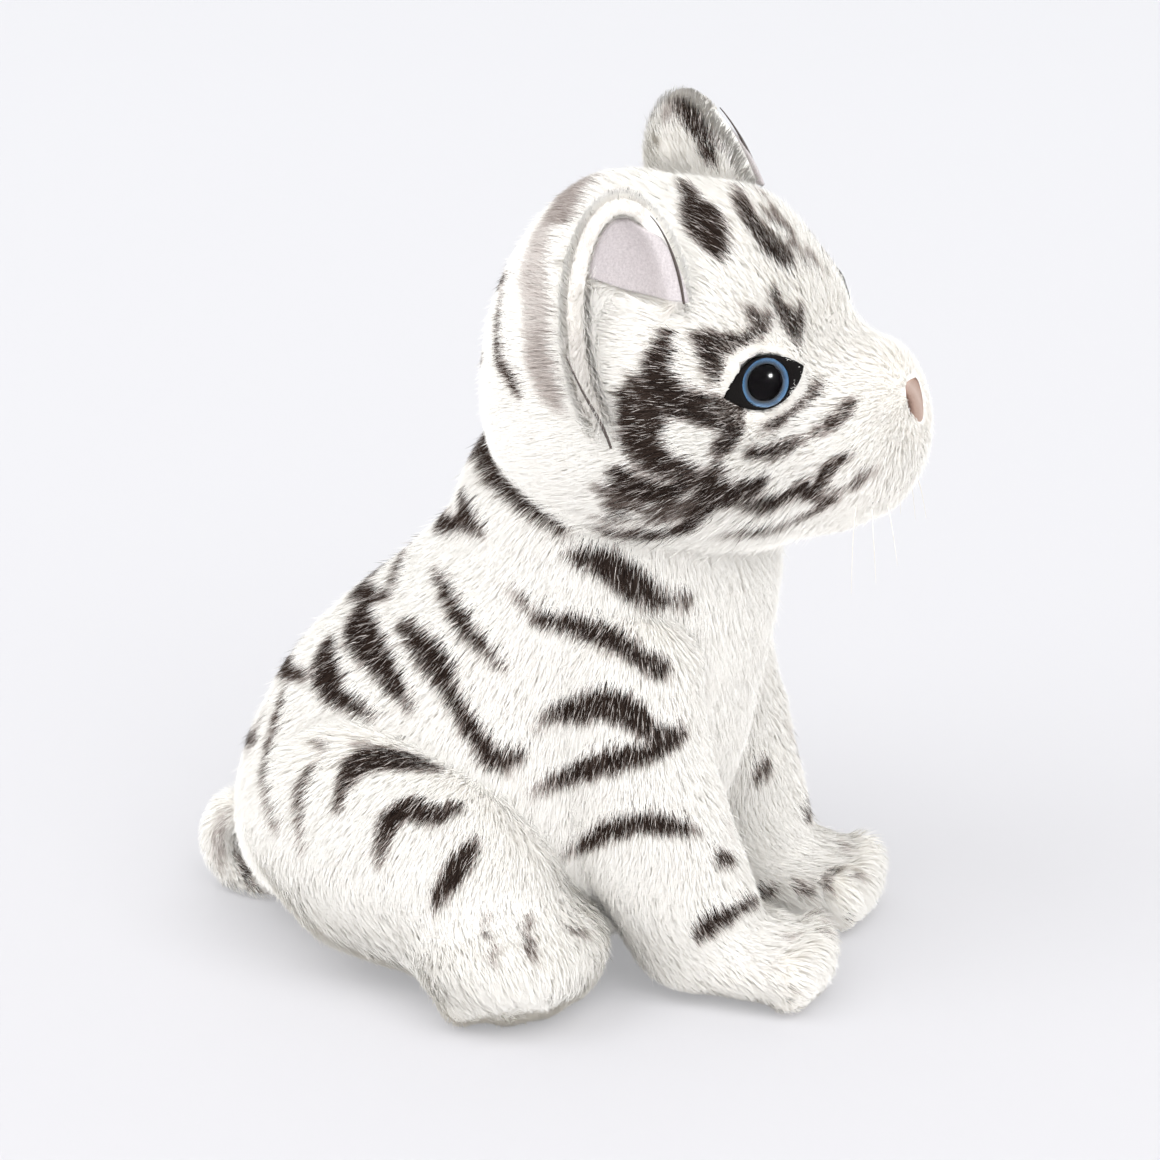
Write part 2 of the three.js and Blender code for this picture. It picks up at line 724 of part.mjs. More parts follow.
// Points on the front of the muzzle, by their share of its half width and half height
function onMuzzle(acrossShare, upShare, lift) {
  const outward = at(acrossShare, 0, upShare);
  const span = outward.length();
  const angle = Math.atan2(upShare, acrossShare);
  let [near, far] = [muzzle.length / 2, muzzle.length + lift];
  for (let halving = 0; halving < 24; halving += 1) {
    const middle = (near + far) / 2;
    const oval = muzzleForm.oval(middle, lift);
    if (oval.across > (span * muzzle.width) / 2) near = middle;
    else far = middle;
  }
  return muzzleForm.point(near, angle, lift);
}

function mouthSolid() {
  const lift = seamGap + mouthThread.thickness / 2;
  const { top, drop: fall, curl: spread, corner } = mouthShares;
  const drop = [];
  const curl = [];
  const stops = 8;
  for (let i = 0; i <= stops; i += 1) {
    drop.push(onMuzzle(0, top - (fall * i) / stops, lift));
    const turn = (Math.PI * i) / stops;
    const across = -2 * spread + (4 * spread * i) / stops;
    curl.push(onMuzzle(across, top - fall - corner * Math.abs(Math.cos(turn)), lift));
  }
  const radius = mouthThread.thickness / 2;
  return tubeSolid(drop, radius, 6, 8).add(tubeSolid(curl, radius, 6, 16));
}

function whiskerSolid(side, number) {
  const spread = number - (whisker.countEachSide - 1) / 2;
  const place = muzzle.length * (whiskerShares.along + whiskerShares.alongStep * spread);
  const angle = -degrees(whisker.below + whisker.belowStep * number);
  const turned = side > 0 ? angle : Math.PI - angle;
  const root = muzzleForm.point(place, turned, -seamGap);
  const outward = muzzleForm.point(place, turned).sub(root).normalize();
  const length = whisker.length * (1 - whiskerShares.shorter * number);
  const bend = whiskerBendShares;
  const stops = 3;
  const points = Array.from({ length: stops + 1 }, (_, i) => {
    const along = i / stops;
    return root
      .clone()
      .addScaledVector(outward, length * (bend.out * along - bend.in * along * along))
      .addScaledVector(UP, -length * (bend.fall * along * along + bend.lean * along))
      .addScaledVector(FORWARD, length * bend.ahead * along * (1 + spread));
  });
  return tubeSolid(points, whisker.thickness / 2, 5, 10).subtract(muzzleForm.solid(seamGap));
}

// Legs: where one stands, from its shares of the body
function legPlace(leg, side) {
  return at((side * leg.apartShare * torso.width) / 2, leg.forwardShare * torso.depth, 0);
}

function forelegSolid(side, grow = 0) {
  const shoulder = legPlace(foreleg, side);
  const spot = (forward, outward, up) =>
    shoulder
      .clone()
      .addScaledVector(SIDE, side * outward * foreleg.apartShare * torso.width)
      .addScaledVector(FORWARD, forward * foreleg.height)
      .addScaledVector(UP, up);
  const stations = forelegShares.map(([up, forward, outward, thick, wide]) => ({
    point: spot(forward, outward, up * foreleg.height - floorCut),
    across: wide * foreleg.width,
    tall: thick * foreleg.thickness,
  }));
  const round = { startRound: foreleg.round / 2, endRound: foreleg.round };
  const leg = limbSolid({ stations, acrossHint: SIDE, ...round, facets: facets.limb }, grow);
  const [, forward, outward] = forelegShares[0];
  const ankle = spot(forward, outward, 0);
  return leg.add(pawSolid(forepaw, forepawShares, toes, ankle, FORWARD, forepaw.reach, grow));
}

// A paw laid along the floor from an ankle, with its toes across its front
function pawSolid(paw, shares, toe, ankle, heading, ahead, grow) {
  const across = heading.clone().cross(UP);
  const tip = ankle.clone().addScaledVector(heading, ahead);
  const stations = shares.map(([along, wide, tall]) => ({
    point: tip
      .clone()
      .addScaledVector(heading, (along - 1) * paw.length)
      .addScaledVector(UP, tall * paw.height - floorCut),
    across: wide * paw.width,
    tall: tall * paw.height,
  }));
  const round = { startRound: paw.round, endRound: paw.round };
  let solid = limbSolid({ stations, acrossHint: across, ...round, facets: facets.paw }, grow);
  for (let i = 0; i < toe.count; i += 1) {
    const spread = i - (toe.count - 1) / 2;
    const outward = (spread / (toe.count - 1)) * 2 * toe.spreadShare * paw.width;
    const back = toe.setBackShare * paw.length + (outward * outward) / paw.width / 2;
    const centre = tip
      .clone()
      .addScaledVector(heading, -back)
      .addScaledVector(across, outward)
      .addScaledVector(UP, toe.riseShare * paw.height - floorCut);
    const radius = toe.radius + grow;
    const halves = new THREE.Vector3(radius, radius, toe.riseShare * paw.height + grow);
    solid = solid.add(ballSolid(centre, halves, facets.toe));
  }
  return solid;
}

function heading(side, turn) {
  return at(side * Math.sin(degrees(turn)), Math.cos(degrees(turn)), 0);
}

function footSolid(side, grow = 0) {
  const toward = heading(side, foot.turn);
  return pawSolid(foot, footShares, footToes, legPlace(foot, side), toward, foot.length / 2, grow);
}

function thighSolid(side, grow = 0) {
  const toward = heading(side, thigh.turn);
  const start = legPlace(thigh, side);
  const stations = thighShares.map(([along, up, wide, tall]) => ({
    point: start
      .clone()
      .addScaledVector(toward, along * thigh.length)
      .addScaledVector(UP, up * thigh.height),
    across: wide * thigh.width,
    tall: tall * thigh.height,
  }));
  const round = { startRound: thigh.round, endRound: thigh.round };
  return limbSolid({ stations, acrossHint: SIDE, ...round, facets: facets.limb }, grow);
}

// Tail: a tapering cord with a ball at its root, which turns in a cup in the seat
const torsoBackAt = (up) => {
  const oval = torsoForm.oval(up + floorCut);
  return torso.centre + oval.shift - oval.tall;
};
const tailRoot = at(0, torsoBackAt(tail.rootUp) + tail.rootSink, tail.rootUp);

function tailSolid(grow = 0) {
  const stations = tailRouteShares.map(([back, up, aside], i) => {
    const radius = (tail.thickness / 2) * (1 - ((1 - tail.tipShare) * i) / (tailRouteShares.length - 1));
    const point = at(aside * tail.thickness, -back * tail.thickness, up * tail.thickness).add(tailRoot);
    return { point, across: radius, tall: radius };
  });
  const round = { startRound: tail.thickness / 4, endRound: tail.thickness / 2 };
  return limbSolid({ stations, acrossHint: SIDE, ...round, facets: facets.tail }, grow);
}

function tailBall(grow) {
  const radius = tail.thickness / 2 + grow;
  return ballSolid(tailRoot, new THREE.Vector3(radius, radius, radius), 16);
}

// The cup for the ball, and the room that the tail needs at the seat as it lifts
function liftingSpace() {
  const outside = tailSolid(tail.clearance).subtract(torsoForm.solid(seamGap - tail.clearance));
  let room = tailBall(seamGap);
  for (let step = 0; step <= tail.liftSteps; step += 1) {
    room = room.add(turnedAbout(outside, tailRoot, SIDE, (tail.lift * step) / tail.liftSteps));
  }
  return room;
}

// The whole cub
const cub = new THREE.Group();
const turning = turningSpace([headForm, chinForm, muzzleForm], neck.clearance);
const torsoBody = aboveFloor(torsoForm.solid()).subtract(turning).subtract(liftingSpace());
cub.add(meshOf("torso", torsoBody, whiteFur));

const torsoAround = torsoForm.solid(seamGap);
const restOfTail = tailSolid().subtract(torsoAround);
cub.add(meshOf("tail", aboveFloor(restOfTail.add(tailBall(0))), whiteFur));

let headSolid = headForm.solid().subtract(belowNeck());
for (const side of [-1, 1]) headSolid = headSolid.subtract(eyeSocket(eyeFrame(side)));
const headAround = headForm.solid(seamGap);
const noseBack = -nose.sunk - nose.thickness;
const noseSolid = noseBlock(0).intersect(muzzleForm.solid(-nose.sunk)).subtract(muzzleForm.solid(noseBack));
const noseRecess = noseBlock(seamGap).subtract(muzzleForm.solid(noseBack - seamGap));
const muzzleSolid = muzzleForm.solid().subtract(headAround).subtract(noseRecess);
const muzzleAround = muzzleForm.solid(seamGap);
const headGroup = new THREE.Group();
headGroup.add(meshOf("head", headSolid, whiteFur));
headGroup.add(meshOf("muzzle", muzzleSolid, whiteFur));
headGroup.add(meshOf("chin", chinForm.solid().subtract(headAround).subtract(muzzleAround), whiteFur));
headGroup.add(meshOf("nose", noseSolid, noseFelt));
headGroup.add(meshOf("mouth_thread", mouthSolid(), darkThread));

for (const [side, word] of [[-1, "right"], [1, "left"]]) {
  headGroup.add(eyeGroup(side, word));
  headGroup.add(meshOf(`eye_lid_${word}`, lidSolid(side), blackLid));
  const { cup, lining } = earSolids(side);
  headGroup.add(meshOf(`ear_${word}`, cup, whiteFur));
  headGroup.add(meshOf(`ear_lining_${word}`, lining, earFelt));
  headGroup.add(meshOf(`ear_thread_front_${word}`, earThreadSolid(side, earThread.front), darkThread));
  headGroup.add(meshOf(`ear_thread_back_${word}`, earThreadSolid(side, earThread.back), darkThread));
  for (let number = 0; number < whisker.countEachSide; number += 1) {
    headGroup.add(meshOf(`whisker_${word}_${number + 1}`, whiskerSolid(side, number), nylon));
  }

  const thighBody = thighSolid(side).subtract(torsoAround);
  const footBody = footSolid(side).subtract(torsoAround).subtract(thighSolid(side, seamGap));
  const legBody = forelegSolid(side)
    .subtract(torsoAround)
    .subtract(thighSolid(side, seamGap))
    .subtract(footSolid(side, seamGap))
    .subtract(turning);
  cub.add(meshOf(`thigh_${word}`, aboveFloor(thighBody), whiteFur));
  cub.add(meshOf(`hind_foot_${word}`, aboveFloor(footBody), whiteFur));
  cub.add(meshOf(`foreleg_${word}`, aboveFloor(legBody), whiteFur));
}
cub.add(headGroup);

// The origin: on the floor, under the middle of the cub
const bounds = new THREE.Box3().setFromObject(cub);
cub.position.copy(bounds.getCenter(new THREE.Vector3()).negate().setZ(0));

export default cub;
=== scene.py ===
"""A sitting tiger cub in white plush: stuffed skins, a coat of laid fibres, and a finished face.

Lengths are in millimetres in the model's own frame until a mesh is filled, where they become metres.
"""
import math

import bpy
import numpy as np
from mathutils import Matrix, Vector
from mathutils.bvhtree import BVHTree


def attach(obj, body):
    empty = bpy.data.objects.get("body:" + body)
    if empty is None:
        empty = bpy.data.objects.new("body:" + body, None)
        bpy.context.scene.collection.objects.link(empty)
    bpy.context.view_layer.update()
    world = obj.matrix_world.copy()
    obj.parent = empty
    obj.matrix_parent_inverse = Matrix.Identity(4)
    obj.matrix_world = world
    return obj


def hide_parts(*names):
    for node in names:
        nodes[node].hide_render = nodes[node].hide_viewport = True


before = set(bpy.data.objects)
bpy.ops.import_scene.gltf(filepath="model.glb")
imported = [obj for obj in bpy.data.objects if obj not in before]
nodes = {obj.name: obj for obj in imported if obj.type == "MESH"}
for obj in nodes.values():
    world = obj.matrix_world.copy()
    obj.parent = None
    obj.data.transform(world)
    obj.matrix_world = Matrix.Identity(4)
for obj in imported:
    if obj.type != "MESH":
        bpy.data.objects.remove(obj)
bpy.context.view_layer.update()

MM = 0.001
BEHIND = 3.2336  # how far the frame's middle lies in front of the point the forms are placed from
FLOOR_CUT = 0.5  # how deep the forms stand in the floor
SIDE = np.array([1.0, 0.0, 0.0])
FORWARD = np.array([0.0, -1.0, 0.0])
UP = np.array([0.0, 0.0, 1.0])
HANDS = {"right": -1, "left": 1}


def at(side, forward, up):
    """A point by how far it lies to the left, to the front and up."""
    return np.array([side, -forward - BEHIND, up])


def unit(v):
    """Vectors brought to length one."""
    return v / np.maximum(np.linalg.norm(v, axis=-1, keepdims=True), 1e-12)


def soft_step(t):
    """A share from 0 to 1 that eases at both ends: 3t squared - 2t cubed."""
    return t * t * (3 - 2 * t)


# ---------------------------------------------------------------- the view that the cub is seen from
VIEW_TURN, VIEW_RISE = math.radians(-75), math.radians(25)
PIXELS_PER_MM = 3.57
PHOTO_SIDE = 1160
MARK_POINT = np.array([-38.8, -75.74, 2.4])  # the sole of the near forepaw
MARK_PIXEL = (790, 1005)
VIEW_RIGHT = np.array([math.cos(VIEW_TURN), math.sin(VIEW_TURN), 0.0])
VIEW_BACK = np.array([
    math.sin(VIEW_TURN) * math.cos(VIEW_RISE), -math.cos(VIEW_TURN) * math.cos(VIEW_RISE), math.sin(VIEW_RISE)])
VIEW_UP = np.cross(VIEW_BACK, VIEW_RIGHT)
CAMERA_AWAY = 8000.0
SENSOR = 36.0


def seen_at(pixels):
    """Points on the plane through the mark, square to the view, for pixels of the picture."""
    pixels = np.asarray(pixels, float)
    across = (pixels[:, :1] - MARK_PIXEL[0]) / PIXELS_PER_MM
    down = (pixels[:, 1:2] - MARK_PIXEL[1]) / PIXELS_PER_MM
    return MARK_POINT + across * VIEW_RIGHT - down * VIEW_UP


def make_camera():
    """A long lens far away, so that the view is all but parallel."""
    middle = seen_at([(PHOTO_SIDE / 2, PHOTO_SIDE / 2)])[0]
    data = bpy.data.cameras.new("camera")
    data.sensor_width = SENSOR
    data.lens = SENSOR * CAMERA_AWAY * PIXELS_PER_MM / PHOTO_SIDE
    data.clip_start, data.clip_end = 0.1, 60.0
    camera = bpy.data.objects.new("camera", data)
    bpy.context.scene.collection.objects.link(camera)
    turn = Matrix([list(VIEW_RIGHT), list(VIEW_UP), list(VIEW_BACK)]).transposed().to_4x4()
    place = Vector((middle + VIEW_BACK * CAMERA_AWAY) * MM)
    camera.matrix_world = Matrix.Translation(place) @ turn
    bpy.context.scene.camera = camera


make_camera()


# ---------------------------------------------------------------- smooth forms
def through(rows, column, place):
    """A smooth curve through one column of rows: between two rows it is the cubic whose slopes at
    both ends run from the row before to the row after."""
    x, y = rows[:, 0], rows[:, column]
    last = len(x) - 1
    i = np.clip(np.searchsorted(x, place) - 1, 0, last - 1)
    before, after = np.maximum(i - 1, 0), np.minimum(i + 2, last)
    span = x[i + 1] - x[i]
    enter = (y[i + 1] - y[before]) / (x[i + 1] - x[before]) * span
    leave = (y[after] - y[i]) / (x[after] - x[i]) * span
    t = np.clip((place - x[i]) / span, 0, 1)
    ends = (2 * t**3 - 3 * t**2 + 1) * y[i] + (3 * t**2 - 2 * t**3) * y[i + 1]
    return ends + (t**3 - 2 * t**2 + t) * enter + (t**3 - t**2) * leave


def swell(from_end, round_):
    """A quarter circle: how far a form has reached its girth, this far in from a round end."""
    left = 1 - np.clip(from_end / round_, 0, 1)
    return np.sqrt(1 - left * left)


def eased(count):
    """Shares from 0 to 1, closer together near both ends."""
    return (1 - np.cos(np.pi * np.arange(count + 1) / count)) / 2


class Stacked:
    """Ovals stacked along a straight line: rows of place, shift, half across and half tall. Where a
    method takes a growth, the form is that much larger on every side."""

    def __init__(self, rows, sizes, origin, along, across, tall, rounds):
        self.rows = np.array(rows) * np.array(sizes)
        self.origin, self.along, self.across, self.tall = origin, along, across, tall
        self.rounds = rounds
        self.start, self.end = self.rows[0, 0], self.rows[-1, 0]

    def oval(self, place, grow=0.0):
        full = swell(place - self.start + grow, self.rounds[0] + grow)
        full = full * swell(self.end + grow - place, self.rounds[1] + grow)
        inside = np.clip(place, self.start, self.end)
        half = [(through(self.rows, column, inside) + grow) * full for column in (2, 3)]
        return through(self.rows, 1, inside), half[0], half[1]

    def point(self, place, angle, grow=0.0):
        """Origin + along x place + across x a cos(angle) + tall x (shift + b sin(angle))."""
        place, angle = np.broadcast_arrays(np.asarray(place, float), np.asarray(angle, float))
        shift, a, b = self.oval(place, grow)
        return (self.origin + place[..., None] * self.along + (a * np.cos(angle))[..., None] * self.across
                + (shift + b * np.sin(angle))[..., None] * self.tall)

    def holds(self, points, grow=0.0):
        """True where a point lies inside: (across / a) squared + (tall / b) squared is under 1."""
        away = points - self.origin
        place = away @ self.along
        shift, a, b = self.oval(place, grow)
        across = (away @ self.across) / np.maximum(a, 1e-9)
        tall = (away @ self.tall - shift) / np.maximum(b, 1e-9)
        return (place > self.start - grow) & (place < self.end + grow) & (across**2 + tall**2 < 1)

    def onto(self, points, way, lift=0.0, far=60.0):
        """Where lines through the points along way meet the form, by halving between far out and far in."""
        outer, inner = np.full(len(points), far), np.full(len(points), -far / 3)
        for _ in range(26):
            middle = (outer + inner) / 2
            held = self.holds(points + middle[:, None] * way, lift)
            inner, outer = np.where(held, middle, inner), np.where(held, outer, middle)
        return points + outer[:, None] * way

    def grid(self, rings, sides):
        """The form's own surface: rings along it, sides round it, both ends drawn to a point."""
        place = self.start + (self.end - self.start) * eased(rings)
        angle = 2 * np.pi * np.arange(sides) / sides
        return self.point(place[:, None], angle[None, :])


def limb(stations, hint, rounds, rings, sides):
    """Ovals square to a bent spine. Stations are point, half across and half tall; place is measured
    along the spine; across is the hint square to the spine, and tall is spine x across."""
    stations = np.array(stations, float)
    chord = np.concatenate([[0], np.cumsum(np.linalg.norm(np.diff(stations[:, :3], axis=0), axis=1))])
    rows = np.column_stack([chord, stations])
    total = chord[-1]
    place = total * eased(rings)

    def spine(s):
        return np.stack([through(rows, c, np.clip(s, 0, total)) for c in (1, 2, 3)], axis=-1)
    ahead = unit(spine(place + 0.5) - spine(place - 0.5))
    across = unit(hint - (ahead @ hint)[:, None] * ahead)
    tall = np.cross(ahead, across)
    drawn = swell(place, rounds[0]) * swell(total - place, rounds[1])
    angle = 2 * np.pi * np.arange(sides) / sides
    a = (through(rows, 4, place) * drawn)[:, None, None]
    b = (through(rows, 5, place) * drawn)[:, None, None]
    return (spine(place)[:, None] + a * np.cos(angle)[None, :, None] * across[:, None]
            + b * np.sin(angle)[None, :, None] * tall[:, None])


def ball(centre, halves, rings=16, sides=24):
    """An upright ellipsoid: centre + (a sin p cos q, b sin p sin q, c cos p)."""
    p = np.pi * np.arange(rings + 1)[:, None] / rings
    q = 2 * np.pi * np.arange(sides)[None, :] / sides
    x = np.sin(p) * np.cos(q) * halves[0]
    y = np.sin(p) * np.sin(q) * halves[1]
    z = np.cos(p) * halves[2] + 0 * q
    return np.asarray(centre) + np.stack([x, y, z], axis=-1)


def tube(points, radius, sides, steps, twist=0.0, turns=0.0):
    """A round profile carried along a smooth path. Radii follow each other along it, and a twist makes
    it two strands: radius x (1 + twist cos(2 angle + turns)). Both ends are drawn to a point."""
    points = np.array(points, float)
    chord = np.concatenate([[0], np.cumsum(np.linalg.norm(np.diff(points, axis=0), axis=1))])
    rows = np.column_stack([chord, points])
    s = np.linspace(0, chord[-1], steps + 1)
    line = np.stack([through(rows, c, s) for c in (1, 2, 3)], axis=-1)
    ahead = unit(np.gradient(line, axis=0))
    hint = unit(np.cross(ahead[0], UP) + 1e-3 * SIDE)
    across = unit(hint - (ahead @ hint)[:, None] * ahead)
    tall = np.cross(ahead, across)
    angle = 2 * np.pi * np.arange(sides)[None, :] / sides
    radii = np.atleast_1d(radius)
    girth = np.interp(s / chord[-1], np.linspace(0, 1, len(radii)), radii)
    girth[0] = girth[-1] = 0
    r = girth[:, None] * (1 + twist * np.cos(2 * (angle + 2 * np.pi * turns * s[:, None] / chord[-1])))
    return (line[:, None] + (r * np.cos(angle))[..., None] * across[:, None]
            + (r * np.sin(angle))[..., None] * tall[:, None])


def skin_of(grid):
    """Corners and faces of a closed grid whose first and last rings are points, facing outwards."""
    rings, sides = grid.shape[0] - 1, grid.shape[1]
    inner = grid[1:-1].reshape(-1, 3)
    points = np.concatenate([grid[:1, 0], inner, grid[-1:, 0]])
    s = np.arange(sides)
    n = (s + 1) % sides
    r = np.arange(rings - 2)[:, None] * sides + 1
    quads = np.stack([r + s, r + n, r + sides + n, r + sides + s], axis=-1).reshape(-1, 4)
    last = (rings - 2) * sides + 1
    caps = np.concatenate([
        np.stack([0 * s, n + 1, s + 1], axis=-1), np.stack([0 * s + len(points) - 1, last + s, last + n], axis=-1)])
    middle = points.mean(0)
    a, b, c = (points[quads[:, i]] - middle for i in (0, 1, 2))
    if np.einsum("ij,ij->i", np.cross(b - a, c - a), a).sum() < 0:
        quads, caps = quads[:, ::-1], caps[:, ::-1]
    return points, quads, caps


def mesh_of(name, points, quads, triangles=()):
    """A smooth mesh object at the origin from corners in millimetres."""
    quads = np.asarray(quads, np.int32).reshape(-1, 4)
    triangles = np.asarray(triangles, np.int32).reshape(-1, 3)
    mesh = bpy.data.meshes.new(name)
    mesh.vertices.add(len(points))
    mesh.vertices.foreach_set("co", (np.asarray(points) * MM).astype(np.float32).ravel())
    loops = np.concatenate([quads.ravel(), triangles.ravel()])
    mesh.loops.add(len(loops))
    mesh.loops.foreach_set("vertex_index", loops)
    mesh.polygons.add(len(quads) + len(triangles))
    starts = np.concatenate([np.arange(len(quads)) * 4, len(quads) * 4 + np.arange(len(triangles)) * 3])
    mesh.polygons.foreach_set("loop_start", starts.astype(np.int32))
    mesh.polygons.foreach_set("use_smooth", np.ones(len(starts), bool))
    mesh.update(calc_edges=True)
    piece = bpy.data.objects.new(name, mesh)
    bpy.context.scene.collection.objects.link(piece)
    return piece


def joined(parts):
    """One array of corners and one for each kind of face, from parts that are (corners, faces, ...)."""
    starts = np.cumsum([0] + [len(part[0]) for part in parts])
    faces = [np.concatenate([part[kind] + start for part, start in zip(parts, starts)])
             for kind in range(1, len(parts[0]))]
    return [np.concatenate([part[0] for part in parts]), *faces]


def grid_piece(name, *grids):
    """One mesh object of one or more closed grids."""
    return mesh_of(name, *joined([skin_of(grid) for grid in grids]))


def finish(piece, body, material, slot, *replaced):
    """The piece rides on its body, takes its material, and replaces these nodes. The slot argument is not used."""
    piece.data.materials.clear()
    piece.data.materials.append(material)
    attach(piece, body)
    if replaced:
        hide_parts(*replaced)


# ---------------------------------------------------------------- the cub's forms
torso = {"width": 112, "depth": 137, "height": 166, "centre": -28}
torso_rows = [
    (0.0, -0.01, 0.45, 0.43), (0.1, -0.018, 0.48, 0.475), (0.19, -0.01, 0.5, 0.502), (0.29, 0.018, 0.5, 0.51),
    (0.39, 0.062, 0.475, 0.505), (0.48, 0.102, 0.45, 0.485), (0.57, 0.162, 0.425, 0.45), (0.66, 0.228, 0.405, 0.4),
    (0.76, 0.28, 0.39, 0.35), (0.86, 0.29, 0.37, 0.31), (0.92, 0.29, 0.34, 0.275), (1.0, 0.29, 0.3, 0.25)]
torso_form = Stacked(
    torso_rows, (torso["height"], torso["depth"], torso["width"], torso["depth"]),
    at(0, torso["centre"], -FLOOR_CUT), UP, SIDE, FORWARD, (22, 18))

head = {"width": 114, "height": 106, "length": 113, "back": -25.5, "middle": 178}
head_rows = [
    (0.0, -0.05, 0.47, 0.54), (0.2, -0.005, 0.485, 0.525), (0.34, 0.0, 0.5, 0.5), (0.5, -0.005, 0.5, 0.495),
    (0.66, -0.008, 0.445, 0.482), (0.75, -0.03, 0.385, 0.44), (0.83, -0.07, 0.33, 0.405), (0.93, -0.1, 0.265, 0.37),
    (1.0, -0.1, 0.23, 0.35)]
head_form = Stacked(
    head_rows, (head["length"], head["height"], head["width"], head["height"]),
    at(0, head["back"], head["middle"]), FORWARD, SIDE, UP, (45, 30))
muzzle_back = head["back"] + head["length"] * 0.715
muzzle = {"width": head["width"] * 0.491, "height": head["height"] * 0.519, "length": head["length"] * 0.416,
          "round": head["length"] * 0.208}
muzzle_rows = [
    (0, -0.02, 0.42, 0.43), (0.3, -0.01, 0.48, 0.47), (0.55, 0, 0.5, 0.49), (0.8, 0, 0.49, 0.52),
    (1, 0, 0.47, 0.52)]
muzzle_form = Stacked(
    muzzle_rows, (muzzle["length"], muzzle["height"], muzzle["width"], muzzle["height"]),
    at(0, muzzle_back, head["middle"] - head["height"] * 0.122), FORWARD, SIDE, UP, (muzzle["round"],) * 2)
chin = {"width": head["width"] * 0.298, "height": head["height"] * 0.208, "length": head["length"] * 0.301,
        "round": head["length"] * 0.113}
chin_form = Stacked(
    [(0, 0, 0.44, 0.44), (0.5, 0, 0.5, 0.5), (1, 0.06, 0.46, 0.44)],
    (chin["length"], chin["height"], chin["width"], chin["height"]),
    at(0, muzzle_back, head["middle"] - head["height"] * 0.33), FORWARD, SIDE, UP, (chin["round"],) * 2)

foreleg = {"height": 122, "thickness": 54, "width": 38, "apart": 0.607, "forward": 0.19}
foreleg_rows = [
    (0, 0.155, -0.1, 0.35, 0.5), (0.1, 0.15, -0.1, 0.36, 0.5), (0.24, 0.1, -0.06, 0.4, 0.49),
    (0.42, 0.03, -0.01, 0.45, 0.48), (0.62, -0.005, 0.01, 0.42, 0.46), (0.82, -0.015, 0, 0.4, 0.44),
    (1, -0.015, -0.02, 0.36, 0.4)]
forepaw = {"length": 52, "width": 40, "height": 29, "round": 18, "ahead": 36,
           "rows": [(0, 0.42, 0.46), (0.3, 0.47, 0.5), (0.65, 0.5, 0.4), (1, 0.46, 0.28)]}
toes = {"radius": 8.2, "spread": 0.3, "back": 0.14, "rise": 0.37, "curl": 0.5}
foot = {"length": 58, "width": 56, "height": 44, "round": 27, "apart": 0.911, "forward": -0.073, "turn": 48,
        "rows": [(0, 0.42, 0.42), (0.35, 0.5, 0.5), (0.7, 0.5, 0.48), (1, 0.4, 0.42)]}
foot_toes = {"radius": 9.5, "spread": 0.3, "back": 0.16, "rise": 0.38, "curl": 1.3}
foot_cushion = {"halves": (30, 29, 20), "aside": 4.5, "ahead": 5.0}
thigh = {"length": 100, "height": 72, "width": 50, "apart": 0.68, "forward": -0.628, "turn": 9,
         "rows": [(0, 0.66, 0.4, 0.38), (0.3, 0.61, 0.48, 0.48), (0.6, 0.52, 0.48, 0.47), (1, 0.38, 0.42, 0.34)]}
tail = {"thickness": 13, "tip": 0.82, "root_up": 26, "root_sink": 3,
        "rows": [(0, 0, 0), (0.5, -0.25, 0.1), (0.75, -0.85, 0.1), (0.5, -1.45, -0.05), (-0.1, -1.7, -0.22),
                 (-0.8, -1.76, -0.3)]}


def stands(leg, side):
    """Where a leg stands, from its shares of the torso."""
    return at(side * leg["apart"] * torso["width"] / 2, leg["forward"] * torso["depth"], 0)


def heading(side, turn):
    """A level direction, turned outward from straight ahead."""
    turn = math.radians(turn)
    return np.array([side * math.sin(turn), -math.cos(turn), 0])


def paw_grids(paw, toe, ankle, toward, ahead):
    """A paw laid along the floor, with four round toes across its front."""
    across = np.cross(toward, UP)
    tip = ankle + toward * ahead
    stations = [
        [*(tip + toward * (along - 1) * paw["length"] + UP * (tall * paw["height"] - FLOOR_CUT)),
         wide * paw["width"], tall * paw["height"]]
        for along, wide, tall in paw["rows"]]
    grids = [limb(stations, across, (paw["round"],) * 2, 36, 48)]
    for i in range(4):
        outward = (i - 1.5) / 3 * 2 * toe["spread"] * paw["width"]
        back = toe["back"] * paw["length"] + outward**2 / paw["width"] * toe["curl"]
        centre = tip - toward * back + across * outward + UP * (toe["rise"] * paw["height"] - FLOOR_CUT)
        grids.append(ball(centre, (toe["radius"], toe["radius"], toe["rise"] * paw["height"])))
    return grids


def foreleg_grids(side):
    """The tube of a foreleg and its paw."""
    shoulder = stands(foreleg, side)

    def spot(forward, outward, up):
        return (shoulder + SIDE * side * outward * foreleg["apart"] * torso["width"]
                + FORWARD * forward * foreleg["height"] + UP * up)
    stations = [
        [*spot(forward, outward, up * foreleg["height"] - FLOOR_CUT), wide * foreleg["width"],
         thick * foreleg["thickness"]]
        for up, forward, outward, thick, wide in foreleg_rows]
    ankle = spot(foreleg_rows[0][1], foreleg_rows[0][2], 0)
    return [limb(stations, SIDE, (10, 20), 60, 56)] + paw_grids(forepaw, toes, ankle, FORWARD, forepaw["ahead"])


def thigh_grids(side):
    """A thigh lying along the flank."""
    toward, start = heading(side, thigh["turn"]), stands(thigh, side)
    stations = [
        [*(start + toward * along * thigh["length"] + UP * up * thigh["height"]), wide * thigh["width"],
         tall * thigh["height"]]
        for along, up, wide, tall in thigh["rows"]]
    return [limb(stations, SIDE, (40, 40), 60, 64)]


